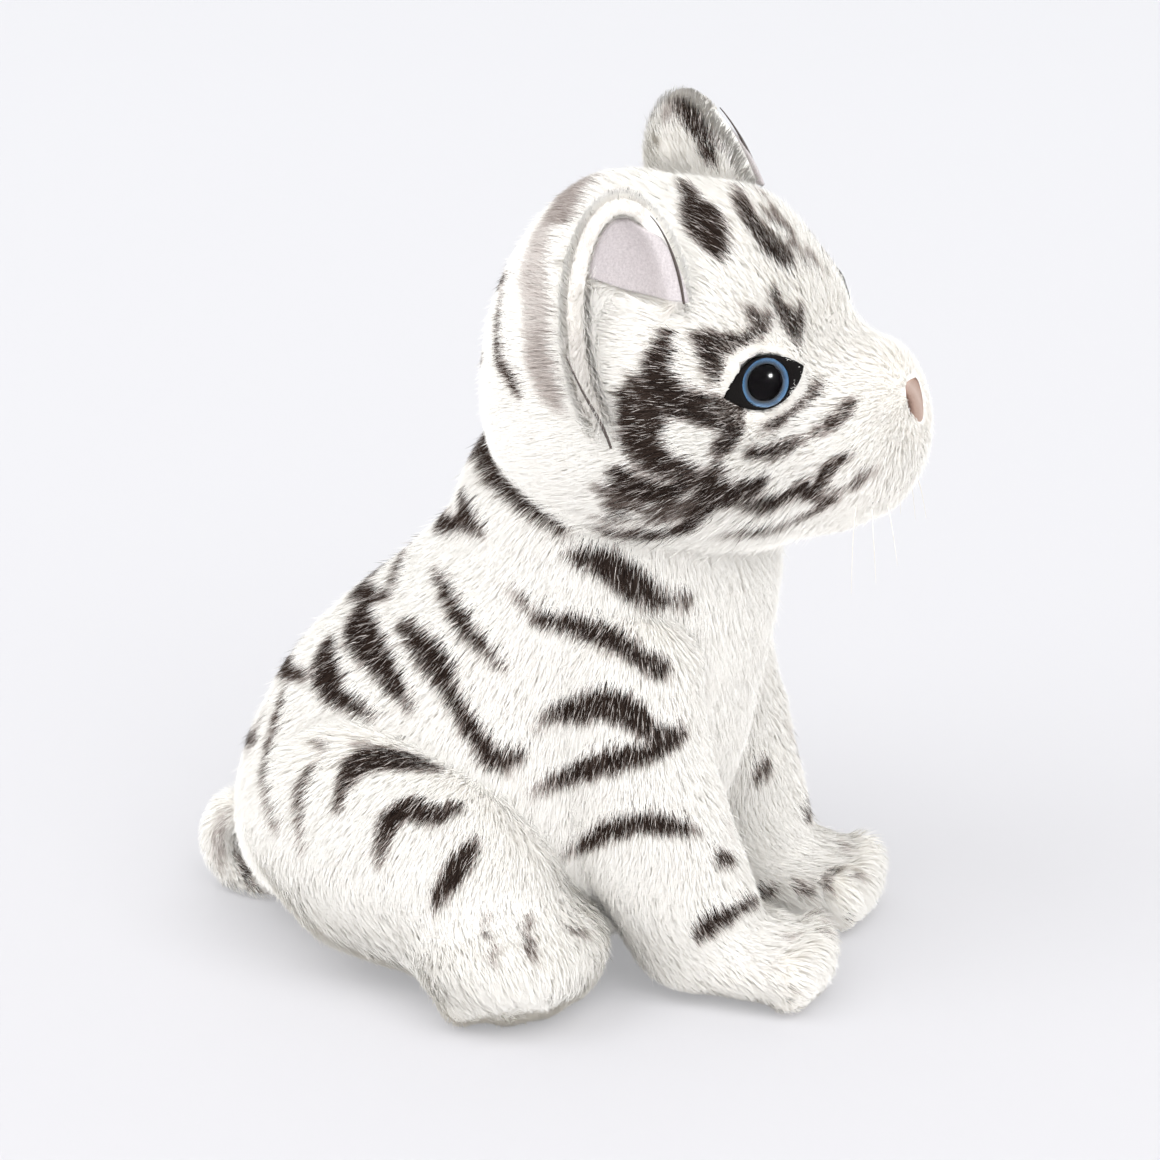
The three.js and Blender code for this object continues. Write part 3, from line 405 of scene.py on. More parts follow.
def foot_grids(side):
    """A broad foot, turned outward, filled out by a flat round cushion."""
    cushion = stands(foot, side) + SIDE * side * foot_cushion["aside"] + FORWARD * foot_cushion["ahead"]
    grids = paw_grids(foot, foot_toes, stands(foot, side), heading(side, foot["turn"]), foot["length"] / 2)
    return grids + [ball(cushion + UP * foot_cushion["halves"][2], foot_cushion["halves"], 30, 48)]


shift, _, half = torso_form.oval(np.array([tail["root_up"] + FLOOR_CUT]))
tail_root = at(0, torso["centre"] + shift[0] - half[0] + tail["root_sink"], tail["root_up"])
tail_route = np.array([
    tail_root + np.array([aside, back, up]) * tail["thickness"] for back, up, aside in tail["rows"]])


def tail_grids():
    """A tapering cord that curls down and in under the seat."""
    taper = 1 - (1 - tail["tip"]) * np.linspace(0, 1, len(tail_route))
    stations = np.column_stack([tail_route, taper * tail["thickness"] / 2, taper * tail["thickness"] / 2])
    return [limb(stations, SIDE, (tail["thickness"] / 4, tail["thickness"] / 2), 40, 32)]


# ---------------------------------------------------------------- ears and eyes: where they sit
ear = {
    "width": 36, "height": 74, "depth": 16, "wall": 6.4, "lining": 1, "back_pile": 1.2, "inner_pile": 0.6,
    "turned": (66, 19), "aside": 0.42, "along": 0.47, "up": 0.3, "seam_up": 10.0, "seam_slant": 4.2,
    "hollow": 8.0, "hollow_edge": 0.15, "hollow_below": 1.5, "hollow_reach": 20,
    "bare_above": 0.8, "bare_rim": 2.2, "bare_round": 66,
    "sewn_deep": 8.0, "sewn_front": 14, "front_fade": 20, "sewn_back": 142, "back_fade": 30}
ear_fur = {
    "full": 3.2, "rim": 0.8, "rim_deep": 1.5, "back_rim": 1.3, "back_slope": 0.3, "back_least": 1.6,
    "furred": (188, 245), "furred_share": 0.86}
eye = {
    "radius": 7.0, "dome": 4.4, "sink": 7.0 / 6, "round": 26, "along": 0.795, "turned": (50, 12),
    "socket": 8.4, "socket_edge": 1.6, "socket_deep": 7.0, "reach": 12, "bare": 0.35}
lid = {
    "length": 26.6, "height": 15.0, "roll": -8.5, "seat": 8.0, "seat_edge": 16.0, "seat_depth": 0.3,
    "seat_reach": 14, "bare_length": 0.97, "bare_edge": 0.9}
nose = {
    "width": 14.0, "height": 13.0, "tilt": 20, "up": 0.09, "along": 0.62, "corner": 0.14, "sunk": 2.4,
    "wider": 2.2, "lowered": 0.9, "back": -2.2, "edge": 1.2, "dome": 1.7,
    "seat": 8.0, "seat_edge": 2.5, "seat_deep": 2.2, "reach": 10, "bare": 6.6, "bare_high": 6.2}


def outward(side, from_front, upward):
    """A direction turned from the front to one side and then upward."""
    a, b = math.radians(from_front), math.radians(upward)
    return np.array([side * math.sin(a) * math.cos(b), -math.cos(a) * math.cos(b), math.sin(b)])


def ear_frame(side):
    """Across, out of the mouth and toward the tip of an ear, and its centre."""
    out = outward(side, *ear["turned"])
    tip = unit(UP - (UP @ out) * out)
    centre = at(
        side * head["width"] * ear["aside"], head["back"] + head["length"] * ear["along"],
        head["middle"] + head["height"] * ear["up"])
    return np.cross(out, tip), out, tip, centre


def eye_frame(side):
    """Across, out of and up an eye, and its centre on the head."""
    angle = math.radians(eye["round"])
    out = outward(side, *eye["turned"])
    up = unit(UP - (UP @ out) * out)
    centre = head_form.point(head["length"] * eye["along"], angle if side > 0 else math.pi - angle)
    return np.cross(out, up), out, up, centre


def within(points, frame_):
    """How far points lie across, up and out of the frame of an eye or an ear, from its centre."""
    across, out, up, centre = frame_
    away = points - centre
    return away @ across, away @ up, away @ out


def above_seam(x, z, side, spare):
    """True above the slanted line where the felt of an ear ends."""
    return z > ear["seam_up"] - ear["seam_slant"] * side * x / (ear["width"] / 2 - ear["wall"]) + spare


def rim_angle(x, z, side):
    """How far round the rim of an ear, in degrees upward from its front."""
    return np.degrees(np.arctan2(z / ear["height"], side * x / ear["width"]))


def inner_wall(x, z, deep):
    """True for points nearer the inner ellipsoid of an ear's cup than its outer one."""
    inner, outer = (
        np.sqrt((x / (ear["width"] / 2 - inset)) ** 2 + (z / (ear["height"] / 2 - inset)) ** 2
                + (deep / (ear["depth"] - inset)) ** 2)
        for inset in (ear["wall"] - ear["inner_pile"], ear["back_pile"]))
    return np.abs(inner - 1) < np.abs(outer - 1)


def seated(points):
    """The head's outline drawn onto the plane of each eye's plate, close round it: the plate is locked
    from inside and pulls the skin flat."""
    for side in HANDS.values():
        frame_ = eye_frame(side)
        x, y, deep = within(points, frame_)
        share = np.clip((lid["seat_edge"] - np.hypot(x, y)) / (lid["seat_edge"] - lid["seat"]), 0, 1)
        share = soft_step(share) * (np.abs(deep) < lid["seat_reach"])
        points = points - (share * (lid["seat_depth"] + deep))[:, None] * frame_[1]
    return points


nose_out = np.array([0, -math.cos(math.radians(nose["tilt"])), math.sin(math.radians(nose["tilt"]))])
nose_up = np.array([0, math.sin(math.radians(nose["tilt"])), math.cos(math.radians(nose["tilt"]))])
nose_middle = muzzle_form.onto(
    (muzzle_form.origin + FORWARD * muzzle["length"] * nose["along"] + UP * muzzle["height"] * nose["up"])[None],
    nose_out, -nose["sunk"])[0]


# ---------------------------------------------------------------- noise
LATTICE = (73856093, 19349663, 83492791)  # large primes that scatter a cell's number over the table


def lattice_noise(points, size, seed):
    """Soft noise from -1 to 1: random values on a cubic lattice of that size, blended between its
    corners with 3t squared - 2t cubed along each side."""
    table = np.random.default_rng(seed).uniform(-1, 1, 4096)
    place = points / size + 1000.0
    cell = np.floor(place).astype(np.int64)
    t = soft_step(place - cell)
    total = np.zeros(len(points))
    for corner in np.ndindex(2, 2, 2):
        key, weight = 0, 1.0
        for axis, step in enumerate(corner):
            key = key ^ ((cell[:, axis] + step) * LATTICE[axis])
            weight = weight * (t[:, axis] if step else 1 - t[:, axis])
        total += weight * table[key & (len(table) - 1)]
    return total


def clouds(points, layers):
    """Soft noises added up: each layer is its strength, size and seed."""
    return sum(strength * lattice_noise(points, size, seed) for strength, size, seed in layers)


# ---------------------------------------------------------------- stuffed skins
def corners_of(mesh):
    """A mesh's corners in millimetres."""
    points = np.empty(len(mesh.vertices) * 3, np.float32)
    mesh.vertices.foreach_get("co", points)
    return points.reshape(-1, 3).astype(float) / MM


def move_corners(mesh, points):
    """The mesh's corners put at these places, in millimetres."""
    mesh.vertices.foreach_set("co", (points * MM).astype(np.float32).ravel())
    mesh.update()


def arrays_of(mesh):
    """Corners in millimetres, their normals and the triangles of a mesh."""
    mesh.calc_loop_triangles()
    points = corners_of(mesh)
    triangles = np.empty(len(mesh.loop_triangles) * 3, np.int32)
    mesh.loop_triangles.foreach_get("vertices", triangles)
    triangles = triangles.reshape(-1, 3)
    a, b, c = (points[triangles[:, i]] for i in range(3))
    face = np.cross(b - a, c - a)
    normals = np.zeros_like(points)
    for i in range(3):
        np.add.at(normals, triangles[:, i], face)
    return points, unit(normals), triangles


def settled(piece, *modifiers):
    """The piece's mesh after its modifiers, put in place of the one before."""
    for kind, values in modifiers:
        modifier = piece.modifiers.new(kind.lower(), kind)
        for key, value in values.items():
            setattr(modifier, key, value)
    mesh = bpy.data.meshes.new_from_object(piece.evaluated_get(bpy.context.evaluated_depsgraph_get()))
    piece.modifiers.clear()
    piece.data = mesh


BLEND_ROUNDS, BLEND_SHARE = 40, 0.6


def union_skin(name, grids, voxel, smooths, blend):
    """Overlapping closed forms drawn together into one even skin, with their creases softened. blend
    gives each corner its share of a move to the middle of its neighbours, made BLEND_ROUNDS times."""
    piece = grid_piece(name, *grids)
    settled(
        piece,
        ("REMESH", {"mode": "VOXEL", "voxel_size": voxel * MM, "use_smooth_shade": True}),
        ("SMOOTH", {"factor": 0.5, "iterations": smooths}))
    if blend:
        points = corners_of(piece.data)
        edges = np.empty(len(piece.data.edges) * 2, np.int32)
        piece.data.edges.foreach_get("vertices", edges)
        edges = edges.reshape(-1, 2)
        start, end = np.concatenate([edges, edges[:, ::-1]]).T
        count = np.bincount(start, minlength=len(points))[:, None]
        share = blend(points)[:, None]
        for _ in range(BLEND_ROUNDS):
            total = np.stack([np.bincount(start, points[end, axis], len(points)) for axis in range(3)], 1)
            points += BLEND_SHARE * share * (total / count - points)
        move_corners(piece.data, points)
    return piece


# name: piece, outer and inner points, normals, triangles, height of the pile, and body
SKINS = {}
SUNK = 0.92  # the share of the pile's height by which a skin lies inside the outline
LEAST_UP = 1.5  # how far every skin stays above the floor
forehead = {"out": 2.2, "centre": np.array([0, -70.0, 204.0]), "inner": 6, "outer": 26}
head_fur = {"height": 3.1, "jaw": 1.8, "jaw_top": 168, "jaw_span": 25, "muzzle_ahead": 32,
            "eye": (1.0, 9, 20), "muzzle": (2.3, 26, 40), "nose": (1.3, 8, 16)}
leg_fur = {"height": 3.1, "sole": 1.6, "top": 12, "span": 10}
torso_fur = {"height": 3.4, "chest": 1.2, "bottom": 60, "span": 60}
tail_fur = 2.2
foot_soft = {"along": 0.34, "up": 15, "inner": 20, "outer": 36, "share": 0.22}
paw_soft = {"back": 12, "up": 10, "inner": 16, "outer": 28, "share": 0.2}


def near(points, centre, inner, outer):
    """1 within inner of a point, 0 beyond outer, easing between."""
    return 1 - soft_step(np.clip((np.linalg.norm(points - centre, axis=1) - inner) / (outer - inner), 0, 1))


def carved(inner, points):
    """The head's skin pressed in behind each eye, behind the felt of each ear and under the nose."""
    for side in HANDS.values():
        frame_ = eye_frame(side)
        x, y, deep = within(points, frame_)
        socket = np.clip((eye["socket"] - np.hypot(x, y)) / eye["socket_edge"], 0, 1)
        socket = socket * (np.abs(deep) < eye["reach"])
        inner = inner - eye["socket_deep"] * socket[:, None] * frame_[1]
        frame_ = ear_frame(side)
        x, z, deep = within(points, frame_)
        mouth = np.hypot(x / (ear["width"] / 2 - 1), z / (ear["height"] / 2 - 2))
        hollow = np.clip((1.0 - mouth) / ear["hollow_edge"], 0, 1) * above_seam(x, z, side, -ear["hollow_below"])
        hollow = hollow * (np.abs(deep) < ear["hollow_reach"])
        inner = inner - ear["hollow"] * hollow[:, None] * frame_[1]
    away = points - nose_middle
    seat = np.clip((nose["seat"] - np.hypot(away[:, 0] * 0.95, away @ nose_up)) / nose["seat_edge"], 0, 1)
    seat = seat * (np.abs(away @ nose_out) < nose["reach"])
    return inner - nose["seat_deep"] * seat[:, None] * nose_out


def stuffed(name, grids, voxel, pile, body, replaced, smooths, blend=None):
    """A stuffed skin: the forms' own outline, drawn in by the height of the pile that stands on it, and
    pressed in where the face's parts are seated."""
    piece = union_skin(name, grids, voxel, smooths, blend)
    points, normals, triangles = arrays_of(piece.data)
    if name == "skin_head":
        bulge = near(points, forehead["centre"], forehead["inner"], forehead["outer"])
        points = seated(points + normals * (forehead["out"] * bulge)[:, None])
    height = pile(points, normals)
    inner = points - normals * (height * SUNK)[:, None]
    if name == "skin_head":
        inner = carved(inner, points)
    inner[:, 2] = np.maximum(inner[:, 2], LEAST_UP)
    move_corners(piece.data, inner)
    SKINS[name] = {
        "piece": piece, "outer": points, "inner": inner, "normals": normals, "triangles": triangles,
        "height": height, "body": body}
    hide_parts(*replaced)


def head_pile(points, normals):
    """Shorter fur round the eyes, on the muzzle and round the nose, fuller on the cheeks and jaw."""
    height = np.full(len(points), head_fur["height"])
    height += head_fur["jaw"] * np.clip((head_fur["jaw_top"] - points[:, 2]) / head_fur["jaw_span"], 0, 1)
    spots = [(eye_frame(side)[3], head_fur["eye"]) for side in HANDS.values()]
    spots += [(muzzle_form.origin + FORWARD * head_fur["muzzle_ahead"], head_fur["muzzle"])]
    for centre, (short, inner, outer) in spots + [(nose_middle, head_fur["nose"])]:
        height = height + (short - height) * near(points, centre, inner, outer)
    return height


def leg_pile(points, normals):
    """Shorter toward the floor, where the leg rests on it."""
    low = np.clip((leg_fur["top"] - points[:, 2]) / leg_fur["span"], 0, 1)
    return leg_fur["height"] - leg_fur["sole"] * low


def tail_pile(points, normals):
    """The same height everywhere."""
    return np.full(len(points), tail_fur)


def torso_pile(points, normals):
    """Fuller on the chest than on the back."""
    high = np.clip((points[:, 2] - torso_fur["bottom"]) / torso_fur["span"], 0, 1)
    return torso_fur["height"] + torso_fur["chest"] * np.clip(-normals[:, 1], 0, 1) * high


def crease(first, second, wide):
    """1 where both forms' surfaces are close, easing to 0 that far from either."""
    trees = []
    for grids in (first, second):
        points, quads, caps = joined([skin_of(grid) for grid in grids])
        trees.append(BVHTree.FromPolygons(points.tolist(), quads.tolist() + caps.tolist()))

    def share(points):
        away = np.array([max(tree.find_nearest(point)[3] for tree in trees) for point in points])
        return soft_step(np.clip(1 - (away - 1) / wide, 0, 1))
    return share


def rounded(blend, middle, soft):
    """The same softening, and some more round the toes."""
    def share(points):
        toes_share = soft["share"] * near(points, middle, soft["inner"], soft["outer"])
        return np.maximum(blend(points) if blend else 0, toes_share)
    return share


stuffed("skin_torso", [torso_form.grid(90, 110)], 3.0, torso_pile, "body", ["torso"], 3)
head_grids, muzzle_grids = [head_form.grid(90, 110)], [muzzle_form.grid(50, 64), chin_form.grid(36, 48)]
stuffed(
    "skin_head", head_grids + muzzle_grids, 2.2, head_pile, "head", ["head", "muzzle", "chin"], 3,
    crease(head_grids, muzzle_grids, 9))
stuffed("skin_tail", tail_grids(), 1.4, tail_pile, "tail", ["tail"], 3)
for word, side in HANDS.items():
    foot_toe = stands(foot, side) + heading(side, foot["turn"]) * foot["length"] * foot_soft["along"]
    stuffed(
        f"skin_hind_leg_{word}", thigh_grids(side) + foot_grids(side), 2.0, leg_pile, "body",
        [f"thigh_{word}", f"hind_foot_{word}"], 4,
        rounded(crease(thigh_grids(side), foot_grids(side), 8), foot_toe + UP * foot_soft["up"], foot_soft))
    paw_ahead = forepaw["ahead"] - forepaw["length"] * toes["back"] - paw_soft["back"]
    stuffed(
        f"skin_foreleg_{word}", foreleg_grids(side), 1.8, leg_pile, "body", [f"foreleg_{word}"], 4,
        rounded(None, stands(foreleg, side) + FORWARD * paw_ahead + UP * paw_soft["up"], paw_soft))


def ear_sunk(side, across_share, high_share):
    """How far the rim of an ear sinks into the head: its front and bottom, where it is sewn down."""
    angle = np.degrees(np.arctan2(high_share, side * across_share))
    sewn = np.clip((ear["sewn_front"] - angle) / ear["front_fade"], 0, 1)
    sewn = sewn * np.clip((angle + ear["sewn_back"]) / ear["back_fade"], 0, 1)
    return ear["sewn_deep"] * soft_step(sewn) * np.clip(np.hypot(across_share, high_share), 0, 1) ** 3


def ear_cup(name, side, word, rings=26, bends=8, sides=80):
    """A cup of two half ellipsoids joined by a round rim: out to the rim with sin p and in again, at
    depth cos p behind its mouth. The rim is sunk where it is sewn to the head."""
    frame_ = across, out, tip, centre = ear_frame(side)
    inner = ear["wall"] - ear["inner_pile"]
    shells = []
    for inset, order in ((ear["back_pile"], 1), (inner, -1)):
        p = np.linspace(0, np.pi / 2, rings)[::order]
        shells.append(np.stack([np.sin(p), -np.cos(p) * (ear["depth"] - inset), np.full(rings, inset)], axis=1))
    turn = np.pi * np.arange(1, bends) / bends
    middle, half = (ear["back_pile"] + inner) / 2, (inner - ear["back_pile"]) / 2
    rim = np.stack([np.ones(bends - 1), 0.8 * half * np.sin(turn), middle - half * np.cos(turn)], axis=1)
    profile = np.concatenate([shells[0], rim, shells[1]])
    q = 2 * np.pi * np.arange(sides) / sides
    share, depth, inset = (profile[:, i][:, None, None] for i in range(3))
    wide = share * (ear["width"] / 2 - inset) * np.cos(q)[None, :, None]
    high = share * (ear["height"] / 2 - inset) * np.sin(q)[None, :, None]
    sunk = ear_sunk(side, share * np.cos(q)[None, :, None], share * np.sin(q)[None, :, None])
    piece = grid_piece(name, centre + wide * across + high * tip + (depth - sunk) * out)
    points, normals, triangles = arrays_of(piece.data)
    x, z, deep = within(points, frame_)
    inside, felted = inner_wall(x, z, deep), above_seam(x, z, side, 0)
    round_, share = rim_angle(x, z, side) % 360, np.hypot(x / (ear["width"] / 2), z / (ear["height"] / 2))
    first, last = ear_fur["furred"]
    furred = (round_ > first) & (round_ < last) & (share > ear_fur["furred_share"])
    front = deep > -ear_fur["rim_deep"]
    back_height = np.clip(ear_fur["back_rim"] - ear_fur["back_slope"] * deep, ear_fur["back_least"], ear_fur["full"])
    height = np.where(inside & felted, ear["inner_pile"], ear_fur["full"])
    height = np.where(front & ~furred & ~(inside & ~felted), ear_fur["rim"], height)
    height = np.where(~inside & ~front, back_height, height)
    SKINS[name] = {
        "piece": piece, "outer": points + normals * height[:, None], "inner": points, "normals": normals,
        "triangles": triangles, "height": height, "body": "head"}
    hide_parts(f"ear_{word}")


for word, side in HANDS.items():
    ear_cup(f"skin_ear_{word}", side, word)


# ---------------------------------------------------------------- stripes, as strokes on the picture
# name: (forms they lie on, whether the other side has them too, depth of shade, [(pixel x, pixel y,
# width in pixels) ...])
HEAD, BODY, TAIL, EAR, BOTH = "head", "body", "tail", "ear", "both"
STROKES = {
    "nape_grey_top": (HEAD, 1, 0.5, [(606, 167, 14), (585, 181, 26), (562, 202, 32), (545, 226, 34)]),
    "nape_grey_mid": (HEAD, 1, 0.34, [(545, 224, 34), (537, 250, 36), (532, 276, 38), (535, 300, 38),
        (536, 331, 36)]),
    "nape_grey_low": (HEAD, 1, 0.44, [(536, 331, 36), (540, 362, 34), (549, 390, 26), (560, 410, 12)]),
    "nape_dark": (HEAD, 1, 0.9, [(501, 294, 7), (498, 325, 12), (499, 356, 14), (508, 376, 14), (519, 396, 7)]),
    "jaw_back": (BOTH, 1, 0.95, [(479, 423, 18), (484, 445, 28), (490, 463, 28), (507, 484, 23),
        (531, 506, 17), (562, 528, 12)]),
    "forehead_one": (HEAD, 0, 1, [(684, 181, 12), (694, 203, 21), (700, 214, 36), (709, 233, 36),
        (716, 252, 16), (718, 260, 5)]),
    "forehead_two": (HEAD, 0, 0.95, [(737, 187, 7), (745, 210, 17), (757, 227, 22), (768, 243, 26),
        (780, 256, 25), (789, 266, 12)]),
    "forehead_three": (HEAD, 0, 0.62, [(762, 194, 12), (776, 218, 26), (794, 243, 25), (812, 260, 13),
        (834, 279, 7)]),
    "brow_near": (HEAD, 1, 0.95, [(773, 294, 8), (780, 305, 12), (786, 317, 16), (793, 332, 15),
        (796, 343, 6)]),
    "brow_near_arm": (HEAD, 1, 0.9, [(802, 308, 6), (799, 320, 11), (795, 340, 6)]),
    "brow_far": (HEAD, 1, 0.85, [(738, 306, 6), (748, 313, 11), (757, 325, 14), (764, 340, 6)]),
    "brow_far_arm": (HEAD, 1, 0.8, [(768, 316, 5), (766, 328, 10), (764, 338, 5)]),
    "brow_patch": (HEAD, 1, 1, [(696, 341, 11), (715, 347, 19), (735, 343, 14), (750, 336, 8)]),
    "brow_patch_low": (HEAD, 1, 1, [(708, 350, 18), (712, 362, 22), (712, 377, 15)]),
    "cheek_top": (HEAD, 1, 1, [(668, 336, 9), (663, 350, 20), (659, 368, 28), (660, 388, 34),
        (672, 400, 32), (688, 410, 24)]),
    "cheek_fill": (HEAD, 1, 0.93, [(632, 384, 10), (642, 398, 22), (650, 416, 26), (652, 432, 22)]),
    "cheek_bridge": (HEAD, 1, 1, [(686, 406, 20), (703, 418, 20), (722, 424, 18), (737, 428, 14)]),
    "cheek_lash": (HEAD, 1, 1, [(690, 398, 10), (712, 404, 12), (738, 412, 14)]),
    "cheek_left": (HEAD, 1, 0.97, [(624, 396, 12), (630, 412, 24), (638, 434, 32), (648, 454, 32),
        (668, 469, 24), (694, 474, 11)]),
    "cheek_blob": (HEAD, 1, 1, [(735, 436, 14), (725, 447, 20), (718, 455, 10)]),
    "under_one": (HEAD, 1, 1, [(752, 457, 12), (776, 453, 14), (801, 444, 8)]),
    "under_eye": (HEAD, 1, 0.95, [(820, 383, 6), (812, 396, 8), (798, 410, 9), (782, 422, 9), (762, 431, 6)]),
    "cheek_right": (HEAD, 1, 0.95, [(849, 401, 6), (843, 412, 11), (832, 424, 11), (814, 434, 6)]),
    "jaw_mass": (HEAD, 1, 1, [(618, 472, 12), (630, 486, 28), (650, 494, 30), (668, 496, 22), (686, 486, 14)]),
    "jaw_fill": (HEAD, 1, 0.78, [(600, 486, 8), (620, 504, 20), (648, 516, 24), (678, 511, 22),
        (704, 500, 14)]),
    "jaw_fill_low": (HEAD, 1, 0.86, [(594, 518, 6), (616, 526, 12), (650, 529, 12), (684, 524, 10)]),
    "jaw_side": (HEAD, 1, 0.95, [(612, 506, 10), (622, 516, 12), (640, 520, 8)]),
    "jaw_low": (HEAD, 1, 1, [(600, 530, 12), (620, 536, 20), (645, 537, 20), (668, 536, 16), (690, 528, 16),
        (700, 512, 22)]),
    "jaw_mid": (HEAD, 1, 1, [(708, 486, 29), (712, 500, 31), (727, 500, 26), (746, 492, 21), (765, 484, 13)]),
    "jaw_link": (HEAD, 1, 0.9, [(716, 470, 13), (722, 484, 18)]),
    "jaw_small": (HEAD, 1, 1, [(750, 508, 12), (770, 505, 18), (790, 497, 13), (800, 490, 9)]),
    "jaw_hook": (HEAD, 1, 1, [(800, 486, 10), (811, 498, 14), (820, 482, 13), (832, 466, 10), (848, 456, 6)]),
    "jaw_line": (HEAD, 1, 0.95, [(728, 535, 10), (748, 534, 10), (775, 530, 10), (800, 520, 10),
        (822, 508, 10), (838, 492, 6)]),
    "whisker_dash_one": (HEAD, 1, 0.85, [(856, 481, 5), (862, 475, 8)]),
    "whisker_dash_two": (HEAD, 1, 0.7, [(869, 478, 4), (874, 472, 6)]),
    "whisker_dash_three": (HEAD, 1, 0.85, [(848, 489, 5), (856, 486, 6)]),
    "neck_one": (BODY, 1, 1, [(566, 557, 6), (580, 556, 16), (600, 561, 25), (620, 572, 32), (640, 587, 30),
        (660, 598, 17), (686, 597, 9), (690, 606, 8)]),
    "shoulder": (BODY, 1, 1, [(505, 586, 3), (521, 600, 6), (537, 616, 12), (560, 620, 18), (592, 629, 21),
        (618, 642, 21), (642, 658, 15), (660, 668, 20)]),
    "arm_one": (BODY, 1, 1, [(536, 727, 6), (556, 714, 15), (582, 706, 23), (608, 704, 30), (630, 714, 29),
        (650, 728, 15), (684, 731, 9)]),
    "arm_two": (BODY, 1, 1, [(533, 790, 6), (560, 779, 15), (595, 765, 21), (625, 757, 22), (654, 750, 20),
        (680, 734, 12)]),
    "arm_three": (BODY, 1, 1, [(566, 853, 6), (590, 841, 14), (615, 829, 20), (640, 823, 22),
        (665, 825, 18), (696, 829, 6)]),
    "paw": (BODY, 1, 1, [(696, 937, 7), (706, 927, 17), (722, 916, 17), (742, 906, 14), (772, 893, 7)]),
    "paw_blob": (BODY, 1, 0.95, [(720, 856, 15), (730, 860, 14)]),
    "paw_faint": (BODY, 1, 0.4, [(730, 820, 6), (732, 832, 9)]),
    "far_leg": (BODY, 1, 0.85, [(758, 779, 9), (765, 768, 14), (778, 758, 12)]),
    "far_paw_one": (BODY, 1, 0.75, [(829, 866, 4), (846, 870, 7), (866, 878, 4)]),
    "far_paw_two": (BODY, 1, 0.9, [(795, 884, 5), (804, 890, 8), (813, 897, 4)]),
    "far_paw_three": (BODY, 1, 0.6, [(818, 871, 6), (826, 881, 11), (836, 892, 8)]),
    "far_paw_four": (BODY, 1, 0.55, [(847, 843, 7), (849, 852, 8)]),
    "spine_one": (BODY, 1, 0.95, [(460, 488, 9), (462, 505, 21), (470, 520, 16), (484, 536, 6)]),
    "spine_two": (BODY, 1, 0.9, [(409, 535, 4), (400, 556, 10), (394, 575, 10), (393, 588, 4)]),
    "spine_three": (BODY, 1, 0.8, [(371, 569, 4), (362, 583, 6), (353, 596, 3)]),
    "spine_four": (BODY, 1, 0.7, [(434, 522, 3), (431, 532, 6)]),
    "flank_a": (BODY, 1, 1, [(435, 567, 6), (443, 584, 13), (456, 608, 18), (470, 632, 17), (486, 650, 10),
        (505, 668, 5)]),
    "flank_b_wide": (BODY, 1, 1, [(400, 624, 12), (414, 634, 22), (432, 650, 24), (450, 668, 14),
        (456, 676, 5)]),
    "flank_b": (BODY, 1, 1, [(412, 642, 10), (428, 662, 14), (446, 684, 16), (460, 710, 17), (478, 738, 18),
        (497, 760, 18), (520, 754, 10)]),
    "flank_c": (BODY, 1, 1, [(362, 603, 18), (358, 618, 37), (364, 636, 39), (377, 655, 30), (390, 680, 21),
        (411, 709, 6)]),
    "flank_d": (BODY, 1, 1, [(330, 635, 12), (324, 654, 28), (327, 676, 32), (340, 695, 18), (375, 718, 5)]),
    "edge_one": (BODY, 1, 0.9, [(283, 684, 6), (277, 705, 12), (270, 732, 11), (263, 762, 9), (265, 795, 7),
        (276, 832, 3)]),
    "edge_two": (BODY, 1, 0.8, [(270, 692, 3), (257, 720, 7), (245, 756, 4)]),
    "edge_three": (BODY, 1, 0.6, [(298, 624, 4), (291, 640, 5), (286, 660, 3)]),
    "hip": (BODY, 1, 0.75, [(302, 736, 4), (322, 742, 9), (344, 744, 10), (364, 741, 4)]),
    "hip_thin": (BODY, 1, 0.6, [(270, 767, 3), (284, 764, 5), (297, 761, 3)]),
    "hip_drop": (BODY, 1, 0.9, [(312, 762, 6), (301, 783, 11), (297, 808, 9), (300, 852, 3)]),
    "chevron_one": (BODY, 1, 1, [(338, 807, 6), (344, 782, 14), (354, 765, 22), (376, 757, 23),
        (404, 759, 21), (440, 766, 6)]),
    "chevron_two": (BODY, 1, 1, [(379, 861, 5), (384, 838, 12), (392, 817, 18), (410, 807, 21),
        (432, 812, 16), (458, 805, 7)]),
    "thigh_mark": (BODY, 1, 1, [(431, 908, 5), (444, 886, 16), (458, 864, 22), (468, 850, 16), (473, 842, 7)]),
    "toe_one": (BODY, 1, 0.85, [(485, 914, 6), (489, 937, 10), (493, 960, 5)]),
    "toe_two": (BODY, 1, 0.75, [(531, 914, 5), (529, 934, 9), (538, 964, 6)]),
    "toe_three": (BODY, 1, 0.8, [(555, 908, 5), (571, 922, 13), (587, 931, 7)]),
    "tail_grey": (TAIL, 1, 0.36, [(221, 816, 9), (216, 841, 13), (218, 870, 8)]),
    "tail_dark": (TAIL, 1, 0.9, [(236, 855, 4), (243, 872, 8), (249, 889, 5)]),
    "tail_tip": (TAIL, 1, 0.9, [(278, 910, 9), (298, 911, 10)]),
    "far_ear_grey": (EAR, 1, 0.5, [(664, 117, 14), (674, 108, 16)]),
    "far_ear_dark": (EAR, 1, 0.95, [(684, 112, 14), (700, 134, 17), (710, 160, 12), (713, 168, 5)]),
}
